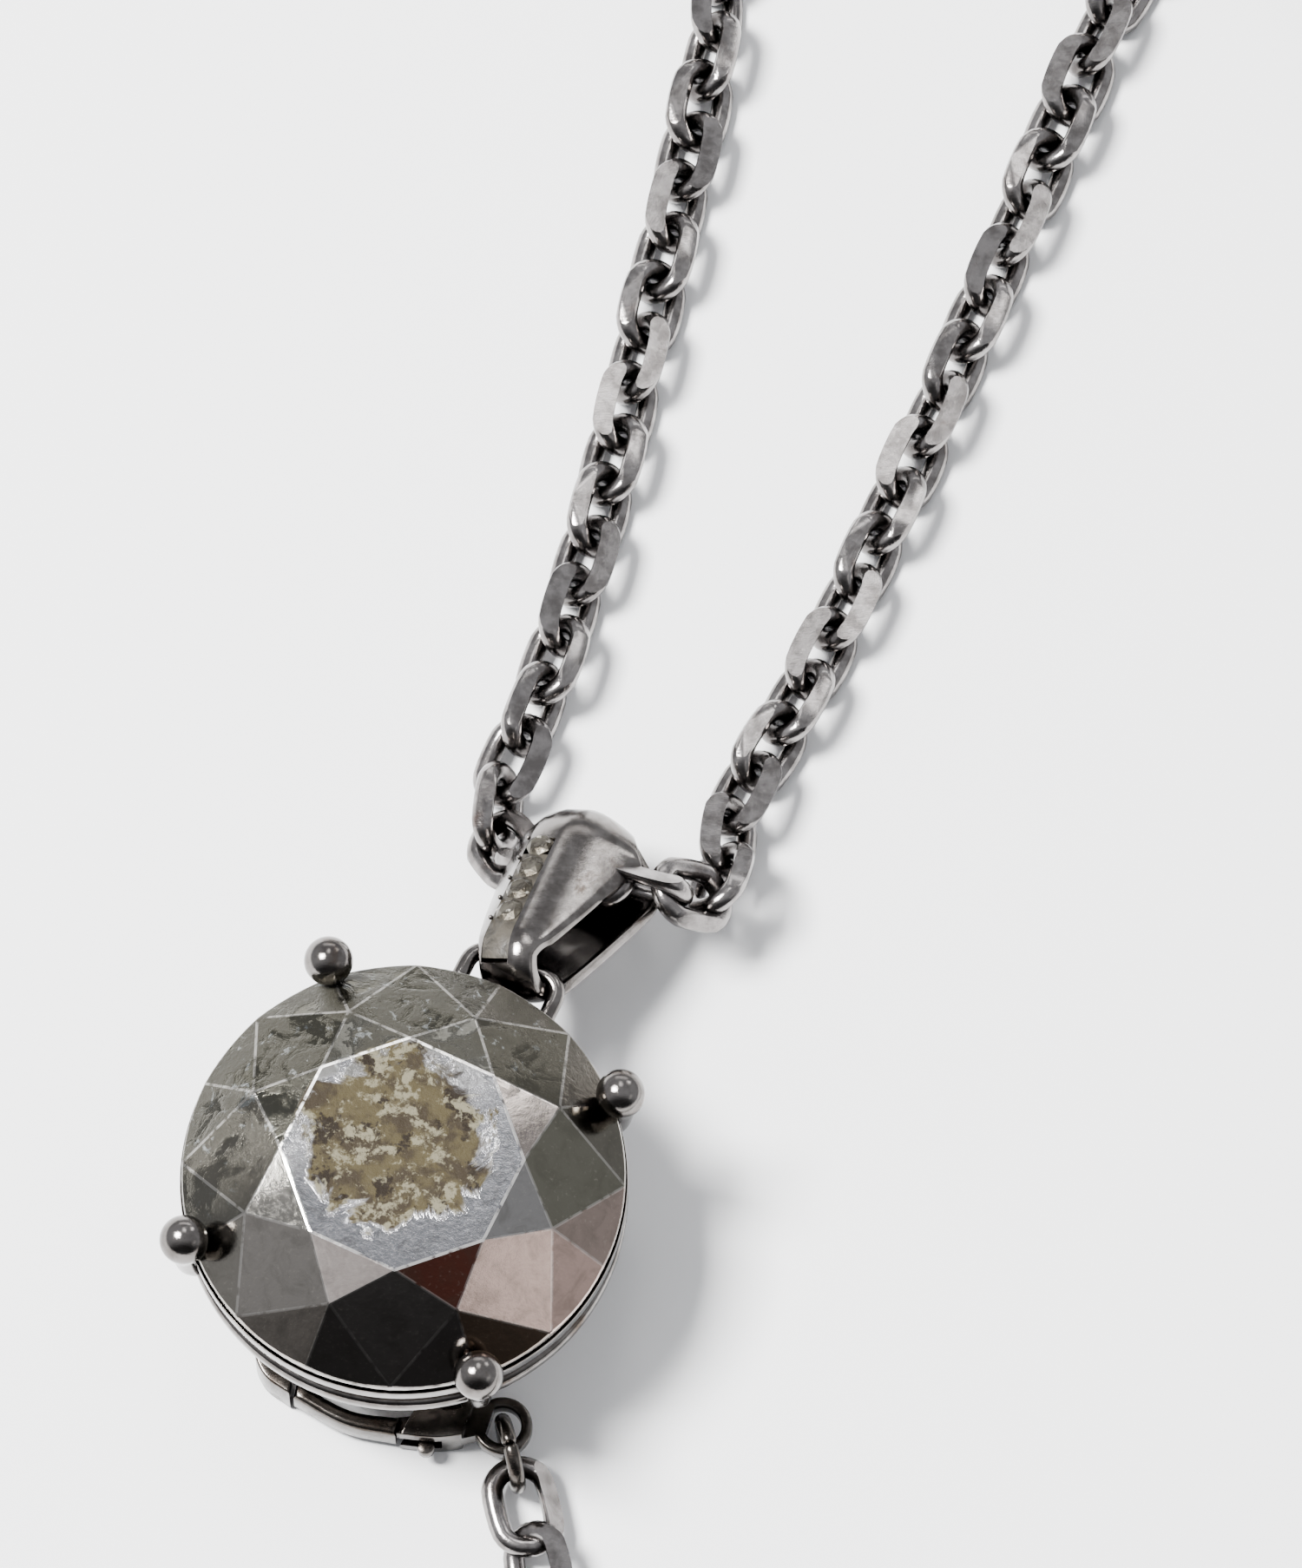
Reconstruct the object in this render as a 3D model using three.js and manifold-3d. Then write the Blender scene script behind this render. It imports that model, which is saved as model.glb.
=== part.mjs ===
// A pendant necklace: a round brilliant-cut stone in a four-prong closed cup, hung by a tapered
// bail on a cable chain that ends in a small lobster clasp. Millimetres, +Z up off the table.
// The origin is the centre of the cup's flat foot, and the cup stands on the table at z = 0.
import * as THREE from "three";
import { ConvexGeometry } from "three/addons/geometries/ConvexGeometry.js";
import { ParametricGeometry } from "three/addons/geometries/ParametricGeometry.js";
import { mergeVertices } from "three/addons/utils/BufferGeometryUtils.js";
import Module from "manifold-3d";

const wasm = await Module();
wasm.setup();

// ---- Driving dimensions ----------------------------------------------------------------------
const CLEARANCE = 0.03; // between pieces that touch on the real object

// Stone
const STONE_RADIUS = 5.0;
const TABLE_RADIUS = 2.735; // to the table octagon's corners
const STAR_RADIUS = 3.73; // to the outer tips of the star facets
const CROWN_HEIGHT = 1.55;
const GIRDLE_HEIGHT = 0.3;
const PAVILION_DEPTH = 3.95;
const LOWER_HALF_RADIUS = 1.15; // where neighbouring pavilion mains meet

// Cup
const CUP_FLOOR = 0.3;
const CUP_WALL = 0.25;
const FOOT_RADIUS = 1.6;
const RIM_OVERHANG = 0.05; // how far the rim stands outside the girdle
const RIM_HEIGHT = 0.5;
const GROOVE_HEIGHT = 0.44; // between the rim and the gallery ring, where the hanger is soldered
const GROOVE_DEPTH = 0.28;
const GALLERY_HEIGHT = 0.5;
const GALLERY_DEPTH = 0.6; // the ring's own thickness, outside to inside

// Prongs
const PRONG_COUNT = 4;
const PRONG_STEM_RADIUS = 0.26;
const PRONG_BALL_RADIUS = 0.55;
const PRONG_BALL_OVERREACH = 0.18; // how far the middle of each ball stands outside the girdle

// Hanger: the fixed wire loop at 12 o'clock
const HANGER_WIRE = 0.4;
const HANGER_REACH = 0.9; // from the rim's outside to the middle of the bar
const HANGER_SPAN = 2.2; // between the middles of the two legs

// Bail
const BAIL_REACH = 3.25; // from the hanger bar to the middle of the chain
const BAIL_WALL = 0.35;
const BAIL_CHAIN_RADIUS = 1.15; // inside of the loop round the chain
const BAIL_PIVOT_RADIUS = 0.7; // inside of the loop round the hanger bar
const BAIL_SEAT = 0.26; // from the bar to the middle of that end's curve
const BAIL_BOTTOM_WIDTH = 1.3;
const BAIL_TOP_WIDTH = 3.6;
const BAIL_RIDGE_WIDTH = 1.0; // the flat top of the ridge that holds the channel
const BAIL_FLANK_ANGLE = 38; // degrees that each flank falls away from the ridge
const BAIL_SLOPE = 25; // degrees that the bail falls from the hanger to the chain
const BAIL_TWIST = 30; // degrees that the bail turns about its length
const CHANNEL_WIDTH = 0.75;
const CHANNEL_DEPTH = 0.16;
const CHANNEL_LENGTH = 3.1;
const BAIL_STONE_COUNT = 4;
const BAIL_STONE_GAP = 0.06;

// Chain
const LINK_WIRE = 0.46;
const LINK_PITCH = 1.32;
const LINK_WIDTH = 1.74;
const LINK_PLAY = 0.12;
const THROUGH_LINK_OFFSET = 0.4; // of the link in the bail, from the bail's middle
const STRAND_DIAMETER = 1.4; // of the chain as it lies, with its links rolled by 45 degrees
const COIL_TURNS = 5;
const COIL_PITCH = 1.45;
const COIL_MEAN_RADIUS = 7.75;

// Clasp
const CLASP_THICKNESS = 1.2;
const CLASP_EYE_THICKNESS = 0.46;
const CLASP_EYE_RADIUS = 0.68;
const CLASP_EYE_HOLE = 0.42;
const CLASP_PIN_RADIUS = 0.16;
const CLASP_SLOT = 0.52;
const LEVER_TAIL = 0.44;
const RING_WIRE = 0.36;
const RING_RADIUS = 0.94; // outside of each jump ring

// Places
const PENDANT_TURN = -25.6; // degrees from +Y to the pendant's 12 o'clock
const CLASP_PLACE = [2.2, -4.7]; // middle of the clasp's eye
const CLASP_TURN = 162; // degrees from +X to the clasp's nose
const CLASP_LEAD = -76; // degrees from +X to the chain, seen from the clasp's eye
const COIL_CENTRE = [10.5, 45.8];
const END_LINK_TURN = 15; // degrees from +X to the last link, which lies inside the coil
const END_RING_TILT = 17; // degrees that the end ring leans from the last link to the table

// The way that each of the chain's first links points, going away from the bail on its right, and
// coming towards the bail on its left.
const RIGHT_LINKS = [
  [0.93, -0.3, 0.05],
  [0.72, 0.1, -0.68],
  [0.22, 0.85, -0.48],
];
const LEFT_LINKS = [
  [0.83, -0.3, 0.42],
  [0.42, -0.74, 0.52],
  [-0.12, -0.97, 0.12],
];

// The middle line of each loose strand after those links, [x, y]; it lies on the table.
const LEFT_ROUTE = [
  [3.12, 13.3],
  [3.94, 16.06],
  [4.67, 18.89],
  [5.32, 21.75],
  [5.93, 24.29],
  [6.72, 27.98],
  [7.18, 30.68],
  [6.9, 32.2],
  [5.2, 33.8],
  [2.6, 35.2],
  [0.2, 37.6],
  [-1.3, 40.8],
];
const RIGHT_ROUTE = [
  [7.5, 10.15],
  [8.83, 12.6],
  [10.08, 15.19],
  [11.61, 18.67],
  [12.92, 21.75],
  [14.01, 24.4],
  [15.2, 27.3],
  [16.62, 30.68],
  [17.7, 32.3],
  [19.6, 33.3],
  [21.6, 32.5],
  [22.6, 30.2],
  [22.75, 26],
  [22.75, 19],
  [22.75, 12],
  [22.75, 5],
  [22.75, -2],
  [22.5, -6.4],
  [20.7, -9.2],
  [17.4, -10.1],
  [13, -10.3],
  [8.5, -10.4],
  [5.2, -10.2],
  [3.4, -9.2],
];

// ---- Sizes worked out from them --------------------------------------------------------------
const rad = THREE.MathUtils.degToRad;
const GIRDLE_BOTTOM = CUP_FLOOR + CLEARANCE + 0.15 + PAVILION_DEPTH;
const GIRDLE_TOP = GIRDLE_BOTTOM + GIRDLE_HEIGHT;
const TABLE_Z = GIRDLE_TOP + CROWN_HEIGHT;
const CULET_Z = GIRDLE_BOTTOM - PAVILION_DEPTH;
const RIM_RADIUS = STONE_RADIUS + RIM_OVERHANG;
const RIM_TOP = GIRDLE_BOTTOM - CLEARANCE;
const RIM_BOTTOM = RIM_TOP - RIM_HEIGHT;
const GROOVE_BOTTOM = RIM_BOTTOM - GROOVE_HEIGHT;
const GALLERY_BOTTOM = GROOVE_BOTTOM - GALLERY_HEIGHT;
const CUP_RADIUS = RIM_RADIUS - GROOVE_DEPTH;
const GALLERY_INSIDE = RIM_RADIUS - GALLERY_DEPTH;
const SHOULDER_RADIUS = GALLERY_INSIDE - CLEARANCE; // of the cup where the gallery ring sits
const PRONG_BALL_REACH = STONE_RADIUS + PRONG_BALL_OVERREACH;
const HANGER_Z = (RIM_BOTTOM + GROOVE_BOTTOM) / 2;
const HANGER_BAR = RIM_RADIUS + HANGER_REACH;
const CROWN_SLOPE = CROWN_HEIGHT / (STONE_RADIUS - TABLE_RADIUS);
const PRONG_BALL_Z = prongBallHeight();
const LINK_LENGTH = LINK_PITCH + 2 * LINK_WIRE + LINK_PLAY;
const STRAND_RADIUS = STRAND_DIAMETER / 2;
const STRAND_Z = STRAND_RADIUS + 0.03;
const COIL_OUTSIDE = COIL_MEAN_RADIUS + (COIL_PITCH * COIL_TURNS) / 2 + STRAND_RADIUS;
const COIL_INSIDE = COIL_MEAN_RADIUS - (COIL_PITCH * COIL_TURNS) / 2 - STRAND_RADIUS;
const RING_MIDDLE = RING_RADIUS - RING_WIRE / 2;
const END_RING_HEIGHT = 0.04 + RING_WIRE / 2 + 2 * RING_MIDDLE * Math.sin(rad(END_RING_TILT));

// The ball rests on the crown with the clearance between them.
function prongBallHeight() {
  const tilt = Math.atan(CROWN_SLOPE);
  const above = (PRONG_BALL_RADIUS + CLEARANCE) / Math.cos(tilt);
  return GIRDLE_TOP - CROWN_SLOPE * (PRONG_BALL_REACH - STONE_RADIUS) + above;
}

// ---- Materials -------------------------------------------------------------------------------
const metal = new THREE.MeshStandardMaterial({ color: 0xc9c6c2, metalness: 1, roughness: 0.16 });
const stain = new THREE.MeshStandardMaterial({ color: 0x8a8781, metalness: 0.9, roughness: 0.2 });
const paste = new THREE.MeshStandardMaterial({ color: 0xa39a90, metalness: 0.7, roughness: 0.25 });

// ---- Solid helpers ---------------------------------------------------------------------------
// Every geometry is reduced to merged positions, so it can go to and from manifold-3d.
function merged(geometry) {
  const bare = geometry.clone();
  for (const name of Object.keys(bare.attributes)) {
    if (name !== "position") bare.deleteAttribute(name);
  }
  return mergeVertices(bare, 1e-4);
}

function toSolid(geometry) {
  const g = merged(geometry);
  return new wasm.Manifold(
    new wasm.Mesh({
      numProp: 3,
      vertProperties: new Float32Array(g.attributes.position.array),
      triVerts: new Uint32Array(g.index.array),
    }),
  );
}

function toGeometry(solid) {
  const { vertProperties, triVerts } = solid.getMesh();
  return new THREE.BufferGeometry()
    .setAttribute("position", new THREE.BufferAttribute(vertProperties, 3))
    .setIndex(new THREE.BufferAttribute(triVerts, 1));
}

function joined(...geometries) {
  return toGeometry(geometries.map(toSolid).reduce((a, b) => a.add(b)));
}

function common(...geometries) {
  return toGeometry(geometries.map(toSolid).reduce((a, b) => a.intersect(b)));
}

function cut(geometry, ...tools) {
  return toGeometry(tools.map(toSolid).reduce((a, b) => a.subtract(b), toSolid(geometry)));
}

function named(name, geometry, material) {
  const mesh = new THREE.Mesh(geometry, material);
  mesh.name = name;
  return mesh;
}

// A profile of [radius, height] points turned about +Z.
function turned(profile, sides) {
  const points = profile.map(([r, z]) => new THREE.Vector2(r, z));
  return new THREE.LatheGeometry(points, sides).rotateX(Math.PI / 2);
}

// A flat outline pushed up along +Z from z0.
function plate(shape, thickness, z0 = 0, curveSegments = 10) {
  const options = { depth: thickness, bevelEnabled: false, curveSegments };
  return new THREE.ExtrudeGeometry(shape, options).translate(0, 0, z0);
}

function disc(x, y, radius) {
  const shape = new THREE.Shape();
  shape.absarc(x, y, radius, 0, 2 * Math.PI, false);
  return shape;
}

// A round wire or strand with flat ends along a curve.
function wireAlong(curve, radius, steps, sides = 8) {
  const section = new THREE.Shape();
  for (let i = 0; i < sides; i++) {
    const a = (2 * Math.PI * i) / sides;
    section[i ? "lineTo" : "moveTo"](radius * Math.cos(a), radius * Math.sin(a));
  }
  return new THREE.ExtrudeGeometry(section, { extrudePath: curve, steps, bevelEnabled: false });
}

// A closed loop of round wire in the XY plane: two half circles joined by straights along X.
function wireLoop(outerLength, outerWidth, wire, around = 20, sides = 8) {
  const bend = (outerWidth - wire) / 2;
  const straight = (outerLength - outerWidth) / 2;
  const point = (u, v, target) => {
    const a = 2 * Math.PI * u;
    const b = 2 * Math.PI * v;
    const reach = bend + (wire / 2) * Math.cos(b);
    const shift = straight * THREE.MathUtils.clamp(4 * Math.cos(a), -1, 1);
    target.set(shift + reach * Math.cos(a), reach * Math.sin(a), (wire / 2) * Math.sin(b));
  };
  return new ParametricGeometry(point, around, sides);
}

// ---- Stone -----------------------------------------------------------------------------------
function polar(radius, degrees, z) {
  return new THREE.Vector3(radius * Math.cos(rad(degrees)), radius * Math.sin(rad(degrees)), z);
}

function stoneGeometry() {
  const half = 22.5;
  const starZ = TABLE_Z - CROWN_SLOPE * (STAR_RADIUS * Math.cos(rad(half)) - TABLE_RADIUS);
  const mainSlope = PAVILION_DEPTH / STONE_RADIUS;
  const lowerZ = CULET_Z + mainSlope * LOWER_HALF_RADIUS * Math.cos(rad(half));
  const points = [new THREE.Vector3(0, 0, CULET_Z)];
  for (let k = 0; k < 8; k++) {
    const corner = 45 * k + half;
    const middle = 45 * k;
    points.push(polar(TABLE_RADIUS, corner, TABLE_Z));
    points.push(polar(STAR_RADIUS, middle, starZ));
    points.push(polar(LOWER_HALF_RADIUS, middle, lowerZ));
    for (const angle of [corner, middle]) {
      points.push(polar(STONE_RADIUS, angle, GIRDLE_TOP));
      points.push(polar(STONE_RADIUS, angle, GIRDLE_BOTTOM));
    }
  }
  return new ConvexGeometry(points);
}

// ---- Setting ---------------------------------------------------------------------------------
function cupGeometry() {
  const seatSlope = PAVILION_DEPTH / STONE_RADIUS;
  const seatDrop = (radius) => GIRDLE_BOTTOM - seatSlope * (STONE_RADIUS - radius) - 2 * CLEARANCE;
  const inside = CUP_RADIUS - CUP_WALL;
  const shoulder = SHOULDER_RADIUS;
  return turned(
    [
      [0, 0],
      [FOOT_RADIUS, 0],
      [FOOT_RADIUS + 0.1, 0.5],
      [FOOT_RADIUS + 0.5, 1.35],
      [FOOT_RADIUS + 1.6, 2.15],
      [shoulder - 0.25, GALLERY_BOTTOM - 0.2],
      [shoulder, GALLERY_BOTTOM],
      [shoulder, GROOVE_BOTTOM + CLEARANCE],
      [CUP_RADIUS, GROOVE_BOTTOM + CLEARANCE],
      [CUP_RADIUS, RIM_BOTTOM],
      [RIM_RADIUS, RIM_BOTTOM + 0.05],
      [RIM_RADIUS, RIM_TOP],
      [STONE_RADIUS - 0.05, seatDrop(STONE_RADIUS - 0.05)],
      [inside, seatDrop(inside)],
      [inside, GROOVE_BOTTOM + CUP_WALL],
      [shoulder - CUP_WALL, GROOVE_BOTTOM],
      [shoulder - CUP_WALL, GALLERY_BOTTOM + 0.05],
      [FOOT_RADIUS + 1.45, 2.35],
      [FOOT_RADIUS + 0.25, 1.5],
      [FOOT_RADIUS - 0.15, 0.6],
      [FOOT_RADIUS - 0.4, CUP_FLOOR],
      [0, CUP_FLOOR],
    ],
    64,
  );
}

function galleryGeometry() {
  return turned(
    [
      [GALLERY_INSIDE, GALLERY_BOTTOM],
      [RIM_RADIUS - 0.1, GALLERY_BOTTOM],
      [RIM_RADIUS, GALLERY_BOTTOM + 0.1],
      [RIM_RADIUS, GROOVE_BOTTOM - 0.1],
      [RIM_RADIUS - 0.1, GROOVE_BOTTOM],
      [GALLERY_INSIDE, GROOVE_BOTTOM],
      [GALLERY_INSIDE, GALLERY_BOTTOM],
    ],
    64,
  );
}

// The stem rises in a notch cut in both rims and ends in a ball on the crown, on the +Y side.
function prongGeometry(extra = 0) {
  const radius = PRONG_STEM_RADIUS + extra;
  const outside = STONE_RADIUS + CLEARANCE + PRONG_STEM_RADIUS;
  const path = new THREE.CatmullRomCurve3([
    new THREE.Vector3(0, RIM_RADIUS - 0.35, GALLERY_BOTTOM - 0.45),
    new THREE.Vector3(0, RIM_RADIUS - 0.1, GALLERY_BOTTOM + 0.2),
    new THREE.Vector3(0, outside - 0.06, RIM_BOTTOM),
    new THREE.Vector3(0, outside, GIRDLE_BOTTOM),
    new THREE.Vector3(0, outside, GIRDLE_TOP),
    new THREE.Vector3(0, PRONG_BALL_REACH, PRONG_BALL_Z),
  ]);
  const stem = wireAlong(path, radius, 14, 10);
  const ball = new THREE.SphereGeometry(PRONG_BALL_RADIUS + extra, 16, 10);
  return joined(stem, ball.translate(0, PRONG_BALL_REACH, PRONG_BALL_Z));
}

function prongAngle(index) {
  return rad(45 + (360 / PRONG_COUNT) * index);
}

function prongNotches() {
  const notches = [];
  for (let i = 0; i < PRONG_COUNT; i++) {
    notches.push(prongGeometry(CLEARANCE).rotateZ(prongAngle(i)));
  }
  return notches;
}

function hangerGeometry() {
  const side = HANGER_SPAN / 2;
  const root = Math.sqrt((CUP_RADIUS + CLEARANCE + 0.02) ** 2 - (side - HANGER_WIRE / 2) ** 2);
  const path = new THREE.CurvePath();
  const corner = 0.4;
  const at = (x, y) => new THREE.Vector3(x, y, HANGER_Z);
  path.add(new THREE.LineCurve3(at(-side, root), at(-side, HANGER_BAR - corner)));
  path.add(
    new THREE.QuadraticBezierCurve3(
      at(-side, HANGER_BAR - corner),
      at(-side, HANGER_BAR),
      at(corner - side, HANGER_BAR),
    ),
  );
  path.add(new THREE.LineCurve3(at(corner - side, HANGER_BAR), at(side - corner, HANGER_BAR)));
  path.add(
    new THREE.QuadraticBezierCurve3(
      at(side - corner, HANGER_BAR),
      at(side, HANGER_BAR),
      at(side, HANGER_BAR - corner),
    ),
  );
  path.add(new THREE.LineCurve3(at(side, HANGER_BAR - corner), at(side, root)));
  return wireAlong(path, HANGER_WIRE / 2, 40, 8);
}

// ---- Bail ------------------------------------------------------------------------------------
// The bail's own frame: origin on the hanger bar, +Y to the chain, +Z to its ridged front.
function roundedTaper(bottomRadius, topRadius) {
  const tilt = frontFall();
  const shape = new THREE.Shape();
  shape.absarc(BAIL_REACH, 0, topRadius, -Math.PI / 2 - tilt, Math.PI / 2 + tilt, false);
  shape.absarc(BAIL_SEAT, 0, bottomRadius, Math.PI / 2 + tilt, 1.5 * Math.PI - tilt, false);
  shape.closePath();
  return shape;
}

// Turns an outline drawn with its length along X and its depth along Y into the bail's frame.
function acrossBail(geometry) {
  const across = new THREE.Matrix4().makeBasis(
    new THREE.Vector3(0, 1, 0),
    new THREE.Vector3(0, 0, 1),
    new THREE.Vector3(1, 0, 0),
  );
  return geometry.applyMatrix4(across);
}

function bailSide(offset) {
  const shape = roundedTaper(BAIL_PIVOT_RADIUS + offset, BAIL_CHAIN_RADIUS + offset);
  const width = BAIL_TOP_WIDTH + 1;
  return acrossBail(plate(shape, width, -width / 2, 16));
}

function bailFront() {
  const low = BAIL_BOTTOM_WIDTH / 2;
  const high = BAIL_TOP_WIDTH / 2;
  const top = BAIL_REACH + BAIL_CHAIN_RADIUS + BAIL_WALL;
  const shoulder = BAIL_REACH + 0.1;
  const shape = new THREE.Shape();
  shape.moveTo(-low, -2);
  shape.lineTo(low, -2);
  shape.lineTo(low, 0.1);
  shape.quadraticCurveTo(low + 0.25, shoulder * 0.55, high, shoulder);
  shape.bezierCurveTo(high, shoulder + 0.9, high - 0.5, top - 0.1, high - 1.2, top + 0.05);
  shape.lineTo(1.2 - high, top + 0.05);
  shape.bezierCurveTo(0.5 - high, top - 0.1, -high, shoulder + 0.9, -high, shoulder);
  shape.quadraticCurveTo(-low - 0.25, shoulder * 0.55, -low, 0.1);
  shape.closePath();
  return plate(shape, 8, -4);
}

// The roof-shaped section that gives the front its ridge and its two sloping flanks.
function bailRoof() {
  const side = BAIL_TOP_WIDTH / 2 + 0.5;
  const flat = BAIL_RIDGE_WIDTH / 2;
  const ridge = BAIL_CHAIN_RADIUS + BAIL_WALL;
  const fall = (side - flat) * Math.tan(rad(BAIL_FLANK_ANGLE));
  const shape = new THREE.Shape();
  shape.moveTo(-side, -4);
  shape.lineTo(side, -4);
  shape.lineTo(side, ridge - fall);
  shape.lineTo(flat, ridge);
  shape.lineTo(-flat, ridge);
  shape.lineTo(-side, ridge - fall);
  shape.closePath();
  return plate(shape, 12, -6).rotateX(Math.PI / 2);
}

// The front of the loop falls from the chain end to the pivot end by this angle.
function frontFall() {
  return Math.asin((BAIL_CHAIN_RADIUS - BAIL_PIVOT_RADIUS) / (BAIL_REACH - BAIL_SEAT));
}

// Puts a piece drawn on the front's surface, with its length along Y, onto the bail.
function onFront(geometry) {
  const outside = BAIL_PIVOT_RADIUS + BAIL_WALL;
  return geometry.translate(0, 0, outside).rotateX(frontFall()).translate(0, BAIL_SEAT, 0);
}

function channelGeometry() {
  const start = BAIL_REACH - CHANNEL_LENGTH + 0.1;
  const box = new THREE.BoxGeometry(CHANNEL_WIDTH, CHANNEL_LENGTH, 2 * CHANNEL_DEPTH);
  return onFront(box.translate(0, start + CHANNEL_LENGTH / 2, 0));
}

function bailGeometry() {
  const wide = common(bailSide(BAIL_WALL), bailFront());
  const tilted = bailRoof().translate(0, 0, -BAIL_CHAIN_RADIUS + BAIL_PIVOT_RADIUS);
  const roof = tilted.rotateX(frontFall());
  return cut(common(wide, roof), bailSide(0), channelGeometry());
}

function bailStone(index) {
  const pitch = CHANNEL_LENGTH / BAIL_STONE_COUNT;
  const radius = (CHANNEL_WIDTH - 2 * BAIL_STONE_GAP) / 2;
  const start = BAIL_REACH - CHANNEL_LENGTH + 0.1;
  const profile = [
    [0, -CHANNEL_DEPTH + CLEARANCE],
    [radius * 0.8, -CHANNEL_DEPTH + CLEARANCE],
    [radius, 0],
    [radius * 0.55, radius * 0.35],
    [0, radius * 0.35],
  ];
  return onFront(turned(profile, 12).translate(0, start + pitch * (index + 0.5), 0));
}

// ---- Chain -----------------------------------------------------------------------------------
function linkGeometry() {
  return wireLoop(LINK_LENGTH, LINK_WIDTH, LINK_WIRE);
}

// A link placed by its middle, the way it points and the normal of its flat side.
function placeLink(mesh, centre, axis, normal) {
  const side = new THREE.Vector3().crossVectors(normal, axis).normalize();
  const square = new THREE.Vector3().crossVectors(axis, side);
  mesh.matrix.makeBasis(axis, side, square).setPosition(centre);
  mesh.matrix.decompose(mesh.position, mesh.quaternion, mesh.scale);
  return { mesh, side };
}

// The upward normal of something that points along the axis.
function upwardNormal(axis) {
  const level = new THREE.Vector3(axis.y, -axis.x, 0).normalize();
  return new THREE.Vector3().crossVectors(level, axis).normalize();
}

// Walks away from the through link. Each joint is half a pitch from both its links' middles, and
// each link stands square to the one before it.
function linkRun(group, name, start, links, direction) {
  const half = (direction * LINK_PITCH) / 2;
  let centre = start.centre;
  let before = start.axis;
  let normal = start.side;
  links.forEach((axis, i) => {
    const now = new THREE.Vector3(...axis).normalize();
    centre = centre.clone().addScaledVector(before, half).addScaledVector(now, half);
    normal = normal.clone().projectOnPlane(now).normalize();
    const placed = placeLink(named(`${name}_${i + 1}`, linkGeometry(), metal), centre, now, normal);
    group.add(placed.mesh);
    normal = placed.side;
    before = now;
  });
  return centre.clone().addScaledVector(before, half);
}

function strandGeometry(start, route, end) {
  const points = [start];
  for (const [x, y] of route) points.push(new THREE.Vector3(x, y, STRAND_Z));
  if (end) points.push(end);
  const curve = new THREE.CatmullRomCurve3(points, false, "centripetal");
  const steps = Math.ceil(curve.getLength() / (2.6 * STRAND_DIAMETER));
  return wireAlong(curve, STRAND_RADIUS, steps, 8);
}

// The chain leaves the coil's inner turn through its last link, which stands on its edge.
function endLinkPlace() {
  const lead = new THREE.Vector3(Math.cos(rad(END_LINK_TURN)), Math.sin(rad(END_LINK_TURN)), 0);
  const inner = COIL_MEAN_RADIUS - (COIL_PITCH * COIL_TURNS) / 2;
  const centre = new THREE.Vector3(COIL_CENTRE[0] - inner, COIL_CENTRE[1], LINK_WIDTH / 2 + 0.02);
  return { lead, centre: centre.addScaledVector(lead, LINK_PITCH / 2) };
}

// One flat ring stands for the coil, with a notch for the chain's last link.
function coilGeometry() {
  const ring = turned(
    [
      [COIL_INSIDE, 0.01],
      [COIL_OUTSIDE, 0.01],
      [COIL_OUTSIDE, STRAND_DIAMETER],
      [COIL_INSIDE, STRAND_DIAMETER],
      [COIL_INSIDE, 0.01],
    ],
    40,
  ).translate(...COIL_CENTRE, 0);
  const { centre } = endLinkPlace();
  const room = 2 * CLEARANCE;
  const notch = new THREE.BoxGeometry(LINK_LENGTH + 2 * room, LINK_WIRE + 2 * room, 4 * LINK_WIDTH);
  return cut(ring, notch.rotateZ(rad(END_LINK_TURN)).translate(centre.x, centre.y, 0));
}

// ---- Clasp -----------------------------------------------------------------------------------
// The clasp's own frame: origin in the middle of its eye, +X to the nose, +Z up, and z = 0 is its
// back. The hook is a hollow leaf with a gap on its +Y side, which the lever closes.
const CLASP_PIVOT = [1.5, 0.42];

function hookShape() {
  const shape = new THREE.Shape();
  shape.moveTo(0.3, -0.33);
  shape.splineThru([
    new THREE.Vector2(1.3, -0.85),
    new THREE.Vector2(2.8, -1.22),
    new THREE.Vector2(4.4, -1.08),
    new THREE.Vector2(5.6, -0.48),
    new THREE.Vector2(5.88, 0.1),
    new THREE.Vector2(5.5, 0.64),
    new THREE.Vector2(4.8, 0.9),
  ]);
  shape.lineTo(4.85, 0.48);
  shape.splineThru([
    new THREE.Vector2(5.2, 0.36),
    new THREE.Vector2(5.42, 0.06),
    new THREE.Vector2(5.1, -0.3),
    new THREE.Vector2(4.1, -0.7),
    new THREE.Vector2(2.9, -0.78),
    new THREE.Vector2(2.1, -0.42),
    new THREE.Vector2(1.95, 0.2),
  ]);
  shape.lineTo(2.12, 1.04);
  shape.splineThru([new THREE.Vector2(1.2, 0.82), new THREE.Vector2(0.3, 0.33)]);
  shape.closePath();
  return shape;
}

function claspPinHole(extra) {
  const height = 2 * CLASP_THICKNESS;
  return plate(disc(...CLASP_PIVOT, CLASP_PIN_RADIUS + extra), height, -CLASP_THICKNESS / 2, 8);
}

function claspSlot() {
  const shape = new THREE.Shape();
  shape.moveTo(1.05, 0.02);
  shape.lineTo(2.3, -0.12);
  shape.lineTo(2.3, 1.3);
  shape.lineTo(1.35, 1.3);
  shape.closePath();
  return plate(shape, CLASP_SLOT, (CLASP_THICKNESS - CLASP_SLOT) / 2);
}

function claspBodyGeometry() {
  const eyeZ = (CLASP_THICKNESS - CLASP_EYE_THICKNESS) / 2;
  const eye = plate(disc(0, 0, CLASP_EYE_RADIUS), CLASP_EYE_THICKNESS, eyeZ);
  const hook = cut(plate(hookShape(), CLASP_THICKNESS, 0, 5), claspSlot(), claspPinHole(CLEARANCE));
  const thinned = cut(
    hook,
    new THREE.BoxGeometry(1.3, 3, 1).translate(0.15, 0, eyeZ + CLASP_EYE_THICKNESS + 0.5),
    new THREE.BoxGeometry(1.3, 3, 1).translate(0.15, 0, eyeZ - 0.5),
  );
  return cut(joined(thinned, eye), plate(disc(0, 0, CLASP_EYE_HOLE), 3, -1));
}

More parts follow.
